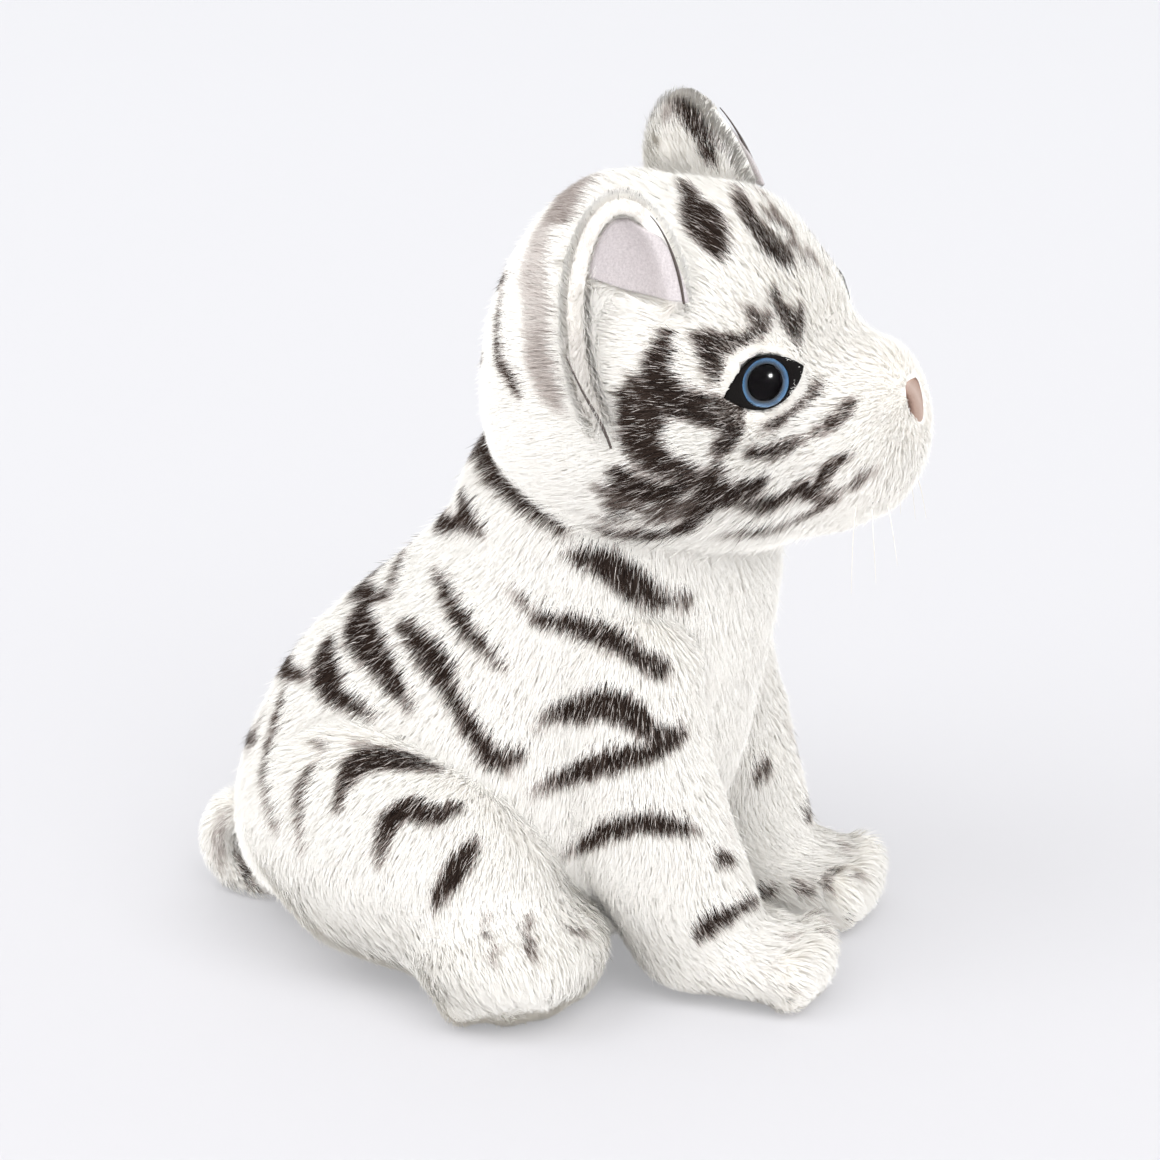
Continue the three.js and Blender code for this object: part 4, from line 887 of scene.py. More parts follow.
# Strokes on the back, where the picture doesn't reach: (side, height, half width) in millimetres
BACK_STROKES = {
    "back_high": [(-14, 152, 1.4), (0, 147, 3.0), (14, 152, 1.4)],
    "back_one": [(-26, 134, 1.0), (-12, 127, 2.6), (0, 124, 3.2), (12, 127, 2.6), (26, 134, 1.0)],
    "back_two": [(-20, 106, 1.0), (-8, 101, 3.0), (0, 99, 3.6), (8, 101, 3.0), (20, 106, 1.0)],
    "back_three": [(-24, 80, 1.0), (-10, 75, 2.8), (0, 73, 3.4), (10, 75, 2.8), (24, 80, 1.0)],
    "back_four": [(-18, 56, 0.8), (0, 50, 2.6), (18, 56, 0.8)],
}
CROWN_STROKES = {
    "crown_back": [(-16, 205, 1.0), (0, 199, 2.8), (16, 205, 1.0)],
    "crown_nape": [(-20, 183, 1.0), (0, 176, 3.0), (20, 183, 1.0)],
}

STROKE_STEP, BACK_STEP = 5, 1.5  # how close together a stroke's spheres are: in pixels, and in millimetres
BACK_SHADE = 0.95
GREY_BELOW = 0.58  # strokes with less shade than this are grey, the others dark
OUTSIDE, BEHIND_BACK = 500, 300.0  # where the lines that drop a stroke onto the forms begin


def seen_surface(names):
    """A search tree of the outlines of these skins."""
    points, triangles = joined([(SKINS[name]["outer"], SKINS[name]["triangles"]) for name in names])
    return BVHTree.FromPolygons(points.tolist(), triangles.tolist())


BODY_SKINS = ["skin_torso"] + [f"skin_{part}_{word}" for part in ("hind_leg", "foreleg") for word in HANDS]
SURFACES = {
    HEAD: seen_surface(["skin_head"]),
    BODY: seen_surface(BODY_SKINS),
    BOTH: seen_surface(["skin_head", *BODY_SKINS]),
    TAIL: seen_surface(["skin_tail"]),
    EAR: seen_surface(["skin_ear_left"]),
}


def densified(stroke, step):
    """The stroke's points, close together along it."""
    stroke = np.array(stroke, float)
    long = np.concatenate([[0], np.cumsum(np.linalg.norm(np.diff(stroke[:, :-1], axis=0), axis=1))])
    rows = np.column_stack([long, stroke])
    s = np.linspace(0, long[-1], max(int(long[-1] / step) + 1, 3))
    return np.stack([through(rows, c, s) for c in range(1, rows.shape[1])], axis=-1)


def dropped(surface, points, way, radii, shade):
    """Each point carried along way until it meets the surface; those that miss it are left out."""
    found = []
    for point, radius in zip(points, radii):
        hit = surface.ray_cast(Vector(point), Vector(way))[0]
        if hit is not None:
            found.append([*hit, radius, shade])
    return found


def stripe_marks():
    """All strokes as spheres strung along the surfaces: middle, radius and shade, for each form."""
    marks = {HEAD: [], BODY: [], TAIL: [], EAR: []}
    for forms, mirrored, shade, stroke in STROKES.values():
        dense = densified(stroke, STROKE_STEP)
        start = seen_at(dense[:, :2]) + VIEW_BACK * OUTSIDE
        found = dropped(SURFACES[forms], start, -VIEW_BACK, dense[:, 2] / 2 / PIXELS_PER_MM, shade)
        if mirrored:
            found = found + [[-x, y, z, r, s] for x, y, z, r, s in found]
        for chosen in ((HEAD, BODY) if forms == BOTH else (forms,)):
            marks[chosen] += found
    for forms, strokes in ((BODY, BACK_STROKES), (HEAD, CROWN_STROKES)):
        for stroke in strokes.values():
            dense = densified(stroke, BACK_STEP)
            start = np.column_stack([dense[:, 0], np.full(len(dense), BEHIND_BACK), dense[:, 1]])
            marks[forms] += dropped(SURFACES[forms], start, FORWARD, dense[:, 2], BACK_SHADE)
    return {forms: np.array(found) for forms, found in marks.items()}


MARKS = stripe_marks()
PLAIN = 99.0  # the distance where there is no stroke


def stripe_field(points, forms):
    """How far each point lies outside the nearest dark stroke and the nearest grey one, less than
    nothing inside them, each with that stroke's shade."""
    marks = MARKS[forms]
    result = []
    for chosen in (marks[marks[:, 4] >= GREY_BELOW], marks[marks[:, 4] < GREY_BELOW]):
        least = np.full(len(points), PLAIN)
        shade = np.zeros(len(points))
        for begin in range(0, len(points), 4000) if len(chosen) else ():
            block = slice(begin, begin + 4000)
            away = np.linalg.norm(points[block, None] - chosen[None, :, :3], axis=2) - chosen[None, :, 3]
            which = away.argmin(1)
            least[block] = away[np.arange(len(which)), which]
            shade[block] = chosen[which, 4]
        result += [least, shade]
    return result


# ---------------------------------------------------------------- how the fur lies
def flow_torso(points, normals):
    """Straight down on the chest, and up to 0.7 back for each 1 down where the outline faces back."""
    back = np.clip(normals[:, 1] + 0.6, 0, 1.3)
    return np.stack([0.1 * normals[:, 0], 0.55 * back, np.full(len(points), -1.0)], axis=1)


def flow_head(points, normals):
    """Away from the nose over the whole head, and up to 0.25 down behind the cheeks."""
    away = unit(points - (nose_middle - 6 * FORWARD))
    behind = np.clip((points[:, 1] + 70) / 60, 0, 1)
    away[:, 2] -= 0.25 * behind * np.clip((200 - points[:, 2]) / 40, -0.5, 1)
    return away


def flow_leg(toward, level, down):
    """Down a leg, and forward along its paw below that level, all but level at the floor."""
    def flow(points, normals):
        low = np.clip((level - points[:, 2]) / 22, 0, 1)[:, None]
        sink = (0.3 + 0.3 * np.clip(points[:, 2] / 14, 0, 1))[:, None]
        return (1 - low) * np.array(down) + low * (toward - sink * UP)
    return flow


def flow_tail(points, normals):
    """Along the tail toward its tip."""
    steps = np.linalg.norm(points[:, None] - tail_route[None], axis=2).argmin(1)
    return unit(np.gradient(tail_route, axis=0))[steps]


def flow_ear(side):
    """Toward the tip and outward over the rim, and down toward the head below the felt."""
    frame_ = across, out, tip, _ = ear_frame(side)

    def flow(points, normals):
        x, z, deep = within(points, frame_)
        inside = inner_wall(x, z, deep)
        over = np.clip((deep + 10) / 6, 0, 1) * ~inside
        below = (inside & ~above_seam(x, z, side, 0))[:, None]
        ahead = 1 + (side * x > 0)[:, None]
        return np.where(below, -0.6 * tip - side * across, tip + 0.6 * ahead * over[:, None] * out)
    return flow


FLOWS = {"skin_torso": flow_torso, "skin_head": flow_head, "skin_tail": flow_tail}
for word, side in HANDS.items():
    FLOWS[f"skin_hind_leg_{word}"] = flow_leg(heading(side, foot["turn"]), 52, (0, 0.5, -1.0))
    FLOWS[f"skin_foreleg_{word}"] = flow_leg(FORWARD, 42, (0, 0.05, -1.0))
    FLOWS[f"skin_ear_{word}"] = flow_ear(side)


def flattened(way, normals):
    """Directions laid flat on the surface with these normals, and brought to length one."""
    return unit(way - np.einsum("ij,ij->i", way, normals)[:, None] * normals)


# ---------------------------------------------------------------- where no fur grows
def bare(points, name):
    """True on the seats of the nose, of the eyes with their dark cloth, and of the felt of the ears."""
    result = np.zeros(len(points), bool)
    if name == "skin_head":
        away = points - nose_middle
        x, y = away[:, 0], away @ nose_up
        narrow = nose["bare"] - 0.5 * np.clip(3.5 - y, 0, 12)
        result |= (np.abs(x) < narrow) & (np.abs(y + 0.2) < nose["bare_high"]) & (points[:, 1] < nose_middle[1] + 9)
        for side in HANDS.values():
            x, y, deep = within(points, eye_frame(side))
            roll = math.radians(-side * lid["roll"])
            x, y = x * math.cos(roll) + y * math.sin(roll), y * math.cos(roll) - x * math.sin(roll)
            high = 0.5 * lid["height"] * (1 - (2 * x / (lid["bare_length"] * lid["length"])) ** 2)
            under = (np.abs(y) < high - lid["bare_edge"]) | (x**2 + y**2 < (eye["radius"] + eye["bare"]) ** 2)
            result |= under & (np.abs(deep) < eye["reach"])
    if name.startswith("skin_ear"):
        side = -1 if name.endswith("right") else 1
        x, z, deep = within(points, ear_frame(side))
        felted = above_seam(x, z, side, ear["bare_above"])
        result |= felted & (deep < -ear_fur["rim_deep"]) & (deep > -ear["hollow_reach"]) & inner_wall(x, z, deep)
        round_ = rim_angle(x, z, side)
        result |= felted & (deep > -ear["bare_rim"]) & (round_ > 0) & (round_ < ear["bare_round"])
    return result


# ---------------------------------------------------------------- the coat
NEIGHBOURS = {
    "head": ["skin_head", "skin_torso"],
    "body": BODY_SKINS + ["skin_head"], "tail": ["skin_torso"]}
TREES = {
    name: BVHTree.FromPolygons(skin["inner"].tolist(), skin["triangles"].tolist())
    for name, skin in SKINS.items() if not name.startswith("skin_ear")}
MOST = 64000  # fibres in one piece, so that it stays under 200,000 triangles

# layers of soft noise: strength, size in millimetres and seed
SWAY_CLOUDS = ((0.18, 19, 11), (0.07, 8, 12), (0.03, 3.2, 13))
LIFT_CLOUDS = ((0.08, 7, 21), (0.02, 2.6, 22))
REACH_CLOUDS = ((0.15, 9, 23),)
EDGE_CLOUDS = ((0.5, 3.2, 31), (0.4, 1.5, 32))
PALE_CLOUDS = ((0.03, 8, 41),)
HOLE_CLOUDS = ((1, 4.2, 51),)
fibre = {
    "sway": 0.17, "roll": 0.28, "height": (0.9, 1.03), "reach": (1.45, 2.05), "width": (0.75, 1.15),
    "guards": 0.04, "guard_height": (1.15, 1.6), "guard_reach": 0.85,
    "knee_height": 0.66, "knee_reach": 0.42, "knee_width": 0.85, "lowest": 0.15}
tint = {
    "edge": 0.42, "dark_at": 0.65, "dark_fade": 1.7, "grey_at": 0.6, "grey_fade": 2.4, "holes": 0.85,
    "strays": 0.09, "stray_shade": 0.35, "pale": 0.045, "pale_spread": 0.014, "ear_rim": 0.12,
    "least_dark": 0.78, "limits": (0.01, 0.985)}


def buried(points, name):
    """How deep each point lies inside another skin; less than nothing outside all of them."""
    deepest = np.full(len(points), -50.0)
    for other in NEIGHBOURS[SKINS[name]["body"]]:
        if other == name or other not in TREES:
            continue
        box = SKINS[other]["inner"]
        close = np.nonzero(((points > box.min(0) - 2) & (points < box.max(0) + 2)).all(1))[0]
        for i in close:
            place, normal, _, away = TREES[other].find_nearest(points[i])
            inside = (Vector(points[i]) - place).dot(normal) < 0
            deepest[i] = max(deepest[i], away if inside else -away)
    return deepest


def rooted(skin_name, density, forms, rng):
    """Roots strewn evenly over a skin, but not where it is bare, lies in another skin or rests on the
    floor. Each has its place, normal, flow, height of pile, and what stripe_field gives for it."""
    skin = SKINS[skin_name]
    points, normals, triangles, heights = (skin[key] for key in ("inner", "normals", "triangles", "height"))
    flow = flattened(FLOWS[skin_name](skin["outer"], normals), normals)
    depth = buried(points, skin_name)
    middle = skin["outer"] + flow * (heights * 0.9)[:, None] - normals * (heights * 0.25)[:, None]
    fields = stripe_field(middle, forms)
    a, b, c = (points[triangles[:, i]] for i in range(3))
    area = np.linalg.norm(np.cross(b - a, c - a), axis=1) / 2
    area *= (depth[triangles].min(1) < 1.5)
    count = int(area.sum() * density)
    face = np.searchsorted(np.cumsum(area) / area.sum(), np.sort(rng.random(count)))
    u, v = rng.random(count), rng.random(count)
    u, v = np.where(u + v > 1, 1 - u, u), np.where(u + v > 1, 1 - v, v)
    share, corner = np.stack([1 - u - v, u, v], axis=1), triangles[face]

    def mixed(values):
        return np.einsum("ij,ij...->i...", share, values[corner])
    root, normal, sunk = mixed(points), unit(mixed(normals)), mixed(depth)
    keep = (sunk < 1.0) & ~bare(root, skin_name) & ((root[:, 2] > 1.9) | (normal[:, 2] > -0.7))
    return [values[keep] for values in (root, normal, mixed(flow), mixed(heights), *map(mixed, fields))]


def bent(root, normal, way, tall, width, rng):
    """Each fibre as a blade of a root edge, a knee edge and a tip: the knee is at 0.66 of its height
    and 0.42 of its reach, the tip at all of both. The flow wanders softly, and more from one to another."""
    count = len(root)
    side = np.cross(normal, way)
    sway = clouds(root, SWAY_CLOUDS) + rng.normal(0, fibre["sway"], count)
    way = flattened(way, normal) * np.cos(sway)[:, None] + side * np.sin(sway)[:, None]
    height = tall * (1 + clouds(root, LIFT_CLOUDS)) * rng.uniform(*fibre["height"], count)
    reach = tall * rng.uniform(*fibre["reach"], count) * (1 + clouds(root, REACH_CLOUDS))
    reach *= np.clip((root[:, 2] + 6) / 16, 0.55, 1)
    guard = rng.random(count) < fibre["guards"]
    height = np.where(guard, height * rng.uniform(*fibre["guard_height"], count), height)
    reach = np.where(guard, reach * fibre["guard_reach"], reach)
    half = (width / 2 * rng.uniform(*fibre["width"], count))[:, None]
    roll = rng.normal(0, fibre["roll"], count)
    side = unit(np.cross(normal, way)) * np.cos(roll)[:, None] + normal * np.sin(roll)[:, None]
    knee = root + normal * (height * fibre["knee_height"])[:, None] + way * (reach * fibre["knee_reach"])[:, None]
    tip = root + normal * height[:, None] + way * reach[:, None]
    bend = side * (half * fibre["knee_width"])
    corners = np.stack([root - side * half, root + side * half, knee + bend, knee - bend, tip], axis=1)
    corners[:, :, 2] = np.maximum(corners[:, :, 2], fibre["lowest"])
    return corners


def shaded(root, dark, dark_shade, grey, grey_shade, on_rim, rng):
    """Each fibre's depth of shade: dark inside a stroke, whose edge is broken up and has holes, paler in
    stray fibres, and otherwise nearly white."""
    count = len(root)
    ragged = clouds(root, EDGE_CLOUDS) + rng.normal(0, tint["edge"], count)
    shade = np.clip(0.5 - (dark - tint["dark_at"] + 0.8 * ragged) / tint["dark_fade"], 0, 1) * dark_shade
    soft = np.clip(0.5 - (grey - tint["grey_at"] + 1.2 * ragged) / tint["grey_fade"], 0, 1) * grey_shade
    soft = soft * (0.75 + 0.5 * rng.random(count))
    holes = np.clip((clouds(root, HOLE_CLOUDS) - 0.02) / 0.2, 0, 1) * (dark_shade < 0.9)
    shade = shade * (1 - tint["holes"] * holes)
    shade = np.where(rng.random(count) < tint["strays"], shade * tint["stray_shade"], shade)
    shade = np.maximum(shade, soft)
    pale = tint["pale"] + clouds(root, PALE_CLOUDS) + rng.normal(0, tint["pale_spread"], count)
    pale = np.clip(pale, 0.01, 0.12) + tint["ear_rim"] * on_rim
    shade = np.clip(np.maximum(shade * rng.uniform(tint["least_dark"], 1.0, count), pale), *tint["limits"])
    shade[:12] = np.linspace(0.02, 0.98, 12)[:count]  # a few fibres of every shade, on each map
    return shade


def coat(skin_name, coat_name, density, width, forms):
    """Fibres over a skin, in pieces. The map holds the depth of shade across and root to tip upward.
    A blade is shown with the normal of the skin, so that the coat is lit as one soft surface."""
    rng = np.random.default_rng(sum(map(ord, coat_name)))
    root, normal, way, tall, *fields = rooted(skin_name, density, forms, rng)
    count = len(root)
    corners = bent(root, normal, way, tall, width, rng)
    way_shown, on_rim = normal, np.zeros(count)
    if skin_name.startswith("skin_ear"):
        _, out, _, centre = ear_frame(-1 if skin_name.endswith("right") else 1)
        deep = (root - centre) @ out
        on_rim = np.clip((deep + 3.0) / 2, 0, 1)
        # the rim's fibres are thin enough to be lit through from the mouth's side
        way_shown = normal + (0.3 + 2.0 * np.clip((deep + 7.5) / 5, 0, 1))[:, None] * out
    shade = shaded(root, *fields, on_rim, rng)

    pieces = []
    order = rng.permutation(count)
    parts = max(1, math.ceil(count / MOST))
    for k in range(parts):
        pick = np.sort(order[k::parts])
        base = np.arange(len(pick))[:, None] * 5
        quads, ends = base + np.array([[0, 1, 2, 3]]), base + np.array([[3, 2, 4]])
        blade = corners[pick]
        facing = np.cross(blade[:, 1] - blade[:, 0], blade[:, 3] - blade[:, 0])
        turned = np.einsum("ij,ij->i", facing, way_shown[pick]) < 0
        quads[turned], ends[turned] = quads[turned][:, ::-1], ends[turned][:, ::-1]
        piece = mesh_of(coat_name if parts == 1 else f"{coat_name}_{k + 1}", blade.reshape(-1, 3), quads, ends)
        across = (shade[pick][:, None] + 0.004 * np.array([-1, 1, 1, -1, 0])).ravel()
        upward = np.tile([0.02, 0.02, 0.55, 0.55, 0.98], len(pick))
        loops = np.empty(len(piece.data.loops), np.int32)
        piece.data.loops.foreach_get("vertex_index", loops)
        layer = piece.data.uv_layers.new(name="OFBake")
        layer.data.foreach_set("uv", np.stack([across[loops], upward[loops]], axis=1).astype(np.float32).ravel())
        shown = unit(0.9 * way_shown[pick] + 0.1 * unit(np.where(turned[:, None], -facing, facing)))
        piece.data.normals_split_custom_set_from_vertices(np.repeat(shown, 5, axis=0).astype(np.float32))
        pieces.append(piece)
    # the skin under the coat is shaded as the fibres are, so that no white shows between dark ones
    skin = SKINS[skin_name]
    under = np.clip(0.5 - np.interp(stripe_field(skin["inner"], forms)[0], [-2, 2], [-1, 1]), 0, 1)
    attribute = skin["piece"].data.attributes.new("stripe", "FLOAT", "POINT")
    attribute.data.foreach_set("value", under.astype(np.float32))
    print(coat_name, "fibres", count, "pieces", parts)
    return pieces


# ---------------------------------------------------------------- materials
def fed(tree, node, inputs):
    """The node's inputs take these values, or are linked to these outputs."""
    for key, value in inputs.items():
        if isinstance(value, bpy.types.NodeSocket):
            tree.links.new(value, node.inputs[key])
        else:
            node.inputs[key].default_value = value
    return node


def added(tree, kind, inputs=(), **settings):
    """A new shader node in the tree, with these settings and inputs."""
    node = tree.nodes.new("ShaderNode" + kind)
    for key, value in settings.items():
        setattr(node, key, value)
    return fed(tree, node, dict(inputs))


def new_material(name):
    """A material, its tree and its shader."""
    material = bpy.data.materials.new(name)
    material.use_nodes = True
    return material, material.node_tree, material.node_tree.nodes["Principled BSDF"]


def linear(red, green, blue):
    """A colour as it shows on a screen, 0 to 255, in the light's own linear values."""
    values = np.array([red, green, blue]) / 255
    return tuple(float(v) for v in np.where(values <= 0.04045, values / 12.92, ((values + 0.055) / 1.055) ** 2.4))


def ramp(tree, factor, stops):
    """The colour at this factor between stops: places and their colours as on a screen."""
    node = added(tree, "ValToRGB", {0: factor})
    elements = node.color_ramp.elements
    while len(elements) < len(stops):
        elements.new(0.5)
    for element, (place, colour) in zip(elements, stops):
        element.position = place
        element.color = (*linear(*colour), 1)
    return node.outputs[0]


def maths(tree, operation, *values):
    """One step of arithmetic on these values or outputs."""
    return added(tree, "Math", dict(enumerate(values)), operation=operation).outputs[0]


def make_grain_group():
    """Grain group: soft cloudy noise of one scale on Object coordinates, as a mask and as a normal."""
    group = bpy.data.node_groups.new("cloth grain", "ShaderNodeTree")
    for name, kind, way in (
            ("Scale", "NodeSocketFloat", "INPUT"), ("Strength", "NodeSocketFloat", "INPUT"),
            ("Mask", "NodeSocketFloat", "OUTPUT"), ("Normal", "NodeSocketVector", "OUTPUT")):
        group.interface.new_socket(name, in_out=way, socket_type=kind)
    given, result = group.nodes.new("NodeGroupInput"), group.nodes.new("NodeGroupOutput")
    noise = added(group, "TexNoise", {
        "Vector": added(group, "TexCoord").outputs["Object"], "Scale": given.outputs["Scale"],
        "Detail": 5, "Roughness": 0.65})
    bump = added(group, "Bump", {
        "Strength": given.outputs["Strength"], "Height": noise.outputs["Fac"], "Distance": 0.0004})
    fed(group, result, {"Mask": noise.outputs["Fac"], "Normal": bump.outputs["Normal"]})
    return group


GRAIN = make_grain_group()


def grain_of(tree, scale, strength):
    """The outputs of the grain group at this scale and strength."""
    return added(tree, "Group", {"Scale": scale, "Strength": strength}, node_tree=GRAIN).outputs


def plain(tree, shader, colour, grain, roughness, specular, sheen=0.0):
    """The shader's colour, its grain as a bump, and how it shines."""
    fed(tree, shader, {
        "Base Color": colour, "Normal": grain["Normal"], "Roughness": roughness, "Sheen Weight": sheen,
        "Specular IOR Level": specular})


def grained(name, dark_colour, light_colour, roughness, scale, strength, sheen=0.0, specular=0.3):
    """A cloth or plastic finish: two close colours by the grain, and its bump."""
    material, tree, shader = new_material(name)
    grain = grain_of(tree, scale, strength)
    colour = ramp(tree, grain["Mask"], [(0.3, dark_colour), (0.7, light_colour)])
    plain(tree, shader, colour, grain, roughness, specular, sheen)
    return material


def fur_material(name, root_colours_and_painted_shade, tip_colours):
    """White to dark by the depth of shade across the map, and root to tip up it; the darker, warmer roots are partly
    the fibres' own colour and partly painted shade deep in the pile.
    """
    material, tree, shader = new_material(name)
    parts = added(tree, "SeparateXYZ", {0: added(tree, "UVMap", uv_map="OFBake").outputs[0]}).outputs
    mix = added(tree, "Mix", {
        "Factor": parts[1], "A": ramp(tree, parts[0], root_colours_and_painted_shade), "B": ramp(tree, parts[0], tip_colours)},
        data_type="RGBA")
    fed(tree, shader, {"Base Color": mix.outputs["Result"], "Roughness": 0.8, "Specular IOR Level": 0.02})
    return material


def skin_material():
    """The knitted backing under the pile: white, and dark where the stripes are."""
    material, tree, shader = new_material("fur backing")
    shade = added(tree, "Attribute", attribute_name="stripe").outputs["Fac"]
    colour = ramp(tree, shade, [(0.0, (253, 250, 245)), (0.45, (170, 160, 152)), (1.0, (62, 50, 44))])
    plain(tree, shader, colour, grain_of(tree, 900, 0.5), 0.95, 0.1)
    return material


def nose_material():
    """Rose felt, brown toward both sides: the share of the half width plus 0.3 of the grain."""
    material, tree, shader = new_material("rose nose felt")
    grain = grain_of(tree, 1700, 0.9)
    parts = added(tree, "SeparateXYZ", {0: added(tree, "TexCoord").outputs["Object"]}).outputs
    share = maths(tree, "MULTIPLY", maths(tree, "ABSOLUTE", parts[0]), 2 / (nose["width"] * MM))
    colour = ramp(tree, maths(tree, "MULTIPLY_ADD", grain["Mask"], 0.3, share), [
        (0.2, (186, 164, 153)), (0.7, (166, 140, 127)), (0.9, (132, 103, 90)), (1.0, (92, 69, 59))])
    plain(tree, shader, colour, grain, 0.95, 0.1)
    return material


def clear_material():
    """Clear plastic: like glass, but bending the light so little that the pupil stays black."""
    material, tree, shader = new_material("clear eye plastic")
    fed(tree, shader, {
        "Normal": grain_of(tree, 120, 0.02)["Normal"], "Base Color": (0.97, 0.98, 1.0, 1),
        "Transmission Weight": 1.0, "Roughness": 0.02, "IOR": 1.1, "Specular Tint": (0.02, 0.02, 0.02, 1),
        "Coat Weight": 0.15, "Coat Roughness": 0.14, "Coat IOR": 1.2})
    return material


def iris_material(side):
    """Blue paint on the ring: darker at both edges, streaked outward from the pupil. Its place is the
    distance from the eye's middle in radii, plus 0.12 of a noise of the direction."""
    across, out, up, centre = eye_frame(side)
    material, tree, shader = new_material("blue eye ring " + ("right" if side < 0 else "left"))
    turn = Matrix([list(across), list(up), list(-out)]).transposed()
    local = added(tree, "Mapping", {
        "Vector": added(tree, "TexCoord").outputs["Object"], "Location": list(centre * MM),
        "Rotation": turn.to_euler()}, vector_type="TEXTURE")
    flat = added(tree, "VectorMath", {0: local.outputs[0], 1: (1, 1, 0)}, operation="MULTIPLY").outputs[0]
    away = added(tree, "VectorMath", {0: flat}, operation="LENGTH").outputs["Value"]
    way = added(tree, "VectorMath", {0: flat}, operation="NORMALIZE").outputs[0]
    streak = added(tree, "TexNoise", {"Vector": way, "Scale": 14, "Detail": 3}).outputs["Fac"]
    share = maths(tree, "MULTIPLY", away, 1 / (eye["radius"] * MM))
    colour = ramp(tree, maths(tree, "MULTIPLY_ADD", streak, 0.12, share), [
        (0.80, (8, 8, 11)), (0.87, (16, 38, 56)), (0.94, (32, 69, 99)), (1.0, (38, 77, 108))])
    fed(tree, shader, {"Base Color": colour, "Roughness": 0.3})
    return material


# roots darker than tips: the lighter tips of the dark fibres are their own colour, while the darker cream roots of
# the white fibres are painted shade between the fibres
fur = fur_material(
    "white and dark fur",
    [(0.0, (255, 251, 243)), (0.13, (250, 245, 237)), (0.34, (190, 180, 174)), (0.5, (146, 133, 126)),
     (0.75, (62, 50, 44)), (1.0, (22, 16, 13))],
    [(0.0, (255, 254, 251)), (0.13, (252, 250, 246)), (0.34, (208, 199, 194)), (0.5, (162, 151, 145)),
     (0.75, (72, 59, 52)), (1.0, (29, 21, 18))])
backing = skin_material()
nose_felt = nose_material()
clear_plastic = clear_material()
felt = grained("grey ear felt", (188, 180, 182), (216, 209, 210), 0.95, 1500, 0.7, sheen=0.2, specular=0.1)
dark_thread = grained("dark thread", (48, 38, 35), (92, 78, 72), 0.8, 2500, 0.8, specular=0.2)
black_cloth = grained("black eye cloth", (7, 6, 6), (22, 18, 17), 0.85, 2200, 0.8, specular=0.02)
black_plastic = grained("black plastic", (4, 3, 4), (9, 8, 9), 0.7, 300, 0.05, specular=0.0)
white_plastic = grained("white plastic", (205, 202, 194), (226, 223, 216), 0.5, 300, 0.1)
whisker_nylon = grained("whisker nylon", (222, 214, 204), (242, 237, 230), 0.35, 400, 0.1)

for skin in SKINS.values():
    finish(skin["piece"], skin["body"], backing, "white_fur")

# part of the name: (fibres to a square millimetre, width of a fibre, forms whose stripes it shows)
COATS = {"torso": (3.6, 0.28, BODY), "head": (4.3, 0.25, HEAD), "tail": (4.0, 0.26, TAIL)}
for word in HANDS:
    COATS[f"hind_leg_{word}"] = COATS[f"foreleg_{word}"] = (3.8, 0.28, BODY)
    COATS[f"ear_{word}"] = (4.5, 0.24, EAR)
for part, (density, width, forms) in COATS.items():
    for piece in coat(f"skin_{part}", f"fur_{part}", density, width, forms):
        finish(piece, SKINS[f"skin_{part}"]["body"], fur, "white_fur")


# ---------------------------------------------------------------- the face
def facing(points, quads, shown, out):
    """The faces in the order that makes those of shown, some of the same ones, look out."""
    a, b, c = (points[shown[:, i]] for i in range(3))
    return quads[:, ::-1] if (np.cross(b - a, c - a) @ out).sum() < 0 else quads


def nose_piece(steps=14, rings=10):
    """The nose: a closed pad over a triangle with round corners, domed a little over the muzzle's own
    surface. Rings shrink from the outline to the middle, above and again below."""
    half, tall, corner = nose["width"] / 2 + nose["wider"], nose["height"], nose["width"] * nose["corner"]
    bends = [((-half, tall / 2 - corner), (-half, tall / 2), (-half + corner, tall / 2)),
             ((half - corner, tall / 2), (half, tall / 2), (half, tall / 2 - corner)),
             ((half, tall / 2 - corner), (half / 2, -tall / 4), (corner / 2, -tall / 2)),
             ((-corner / 2, -tall / 2), (-half / 2, -tall / 4), (-half, tall / 2 - corner))]
    t = np.linspace(0, 1, steps)[:, None]
    outline = np.concatenate([
        (1 - t) ** 2 * np.array(a) + 2 * t * (1 - t) * np.array(b) + t**2 * np.array(c) for a, b, c in bends])
    outline = outline[np.r_[True, np.linalg.norm(np.diff(outline, axis=0), axis=1) > 1e-6]]
    ring = np.sin(np.linspace(0, np.pi / 2, rings + 1))[::-1][:, None, None] * outline[None]
    flat = ring.reshape(-1, 2)
    start = nose_middle + flat[:, :1] * SIDE + (flat[:, 1:] - nose["lowered"]) * nose_up
    on = muzzle_form.onto(start, nose_out, -nose["sunk"], far=15)
    rim = np.linalg.norm(ring, axis=-1) / np.maximum(np.linalg.norm(ring, axis=-1).max(0), 1e-9)
    dome = np.sqrt(np.clip(1 - rim**4, 0, 1)).reshape(-1, 1)
    top, bottom = (
        (on + nose_out * (nose["back"] + thick)).reshape(*ring.shape[:2], 3)
        for thick in (nose["edge"] + nose["dome"] * dome, 0 * dome))
    piece = grid_piece("nose_pad", np.concatenate([bottom[::-1], top]))
    finish(piece, "head", nose_felt, "nose_felt", "nose")


def eye_glass(side, word, flat_rings=8, sides=48):
    """The smooth clear dome over the ring and the pupil: out with cos p to the rim, up with sin p."""
    across, out, up, centre = eye_frame(side)
    p = np.linspace(0, np.pi / 2, 18)
    depth = np.concatenate([np.zeros(flat_rings), eye["dome"] * np.sin(p)]) - eye["sink"]
    radius = np.concatenate([np.linspace(0, eye["radius"] - 0.3, flat_rings), eye["radius"] * np.cos(p)])
    radius[-1] = 0
    q = 2 * np.pi * np.arange(sides) / sides
    grid = (centre + (radius[:, None] * np.cos(q))[..., None] * across + (radius[:, None] * np.sin(q))[..., None] * up
            + depth[:, None, None] * out)
    finish(grid_piece(f"eye_glass_{word}", grid), "head", clear_plastic, "clear_plastic", f"eye_dome_{word}")


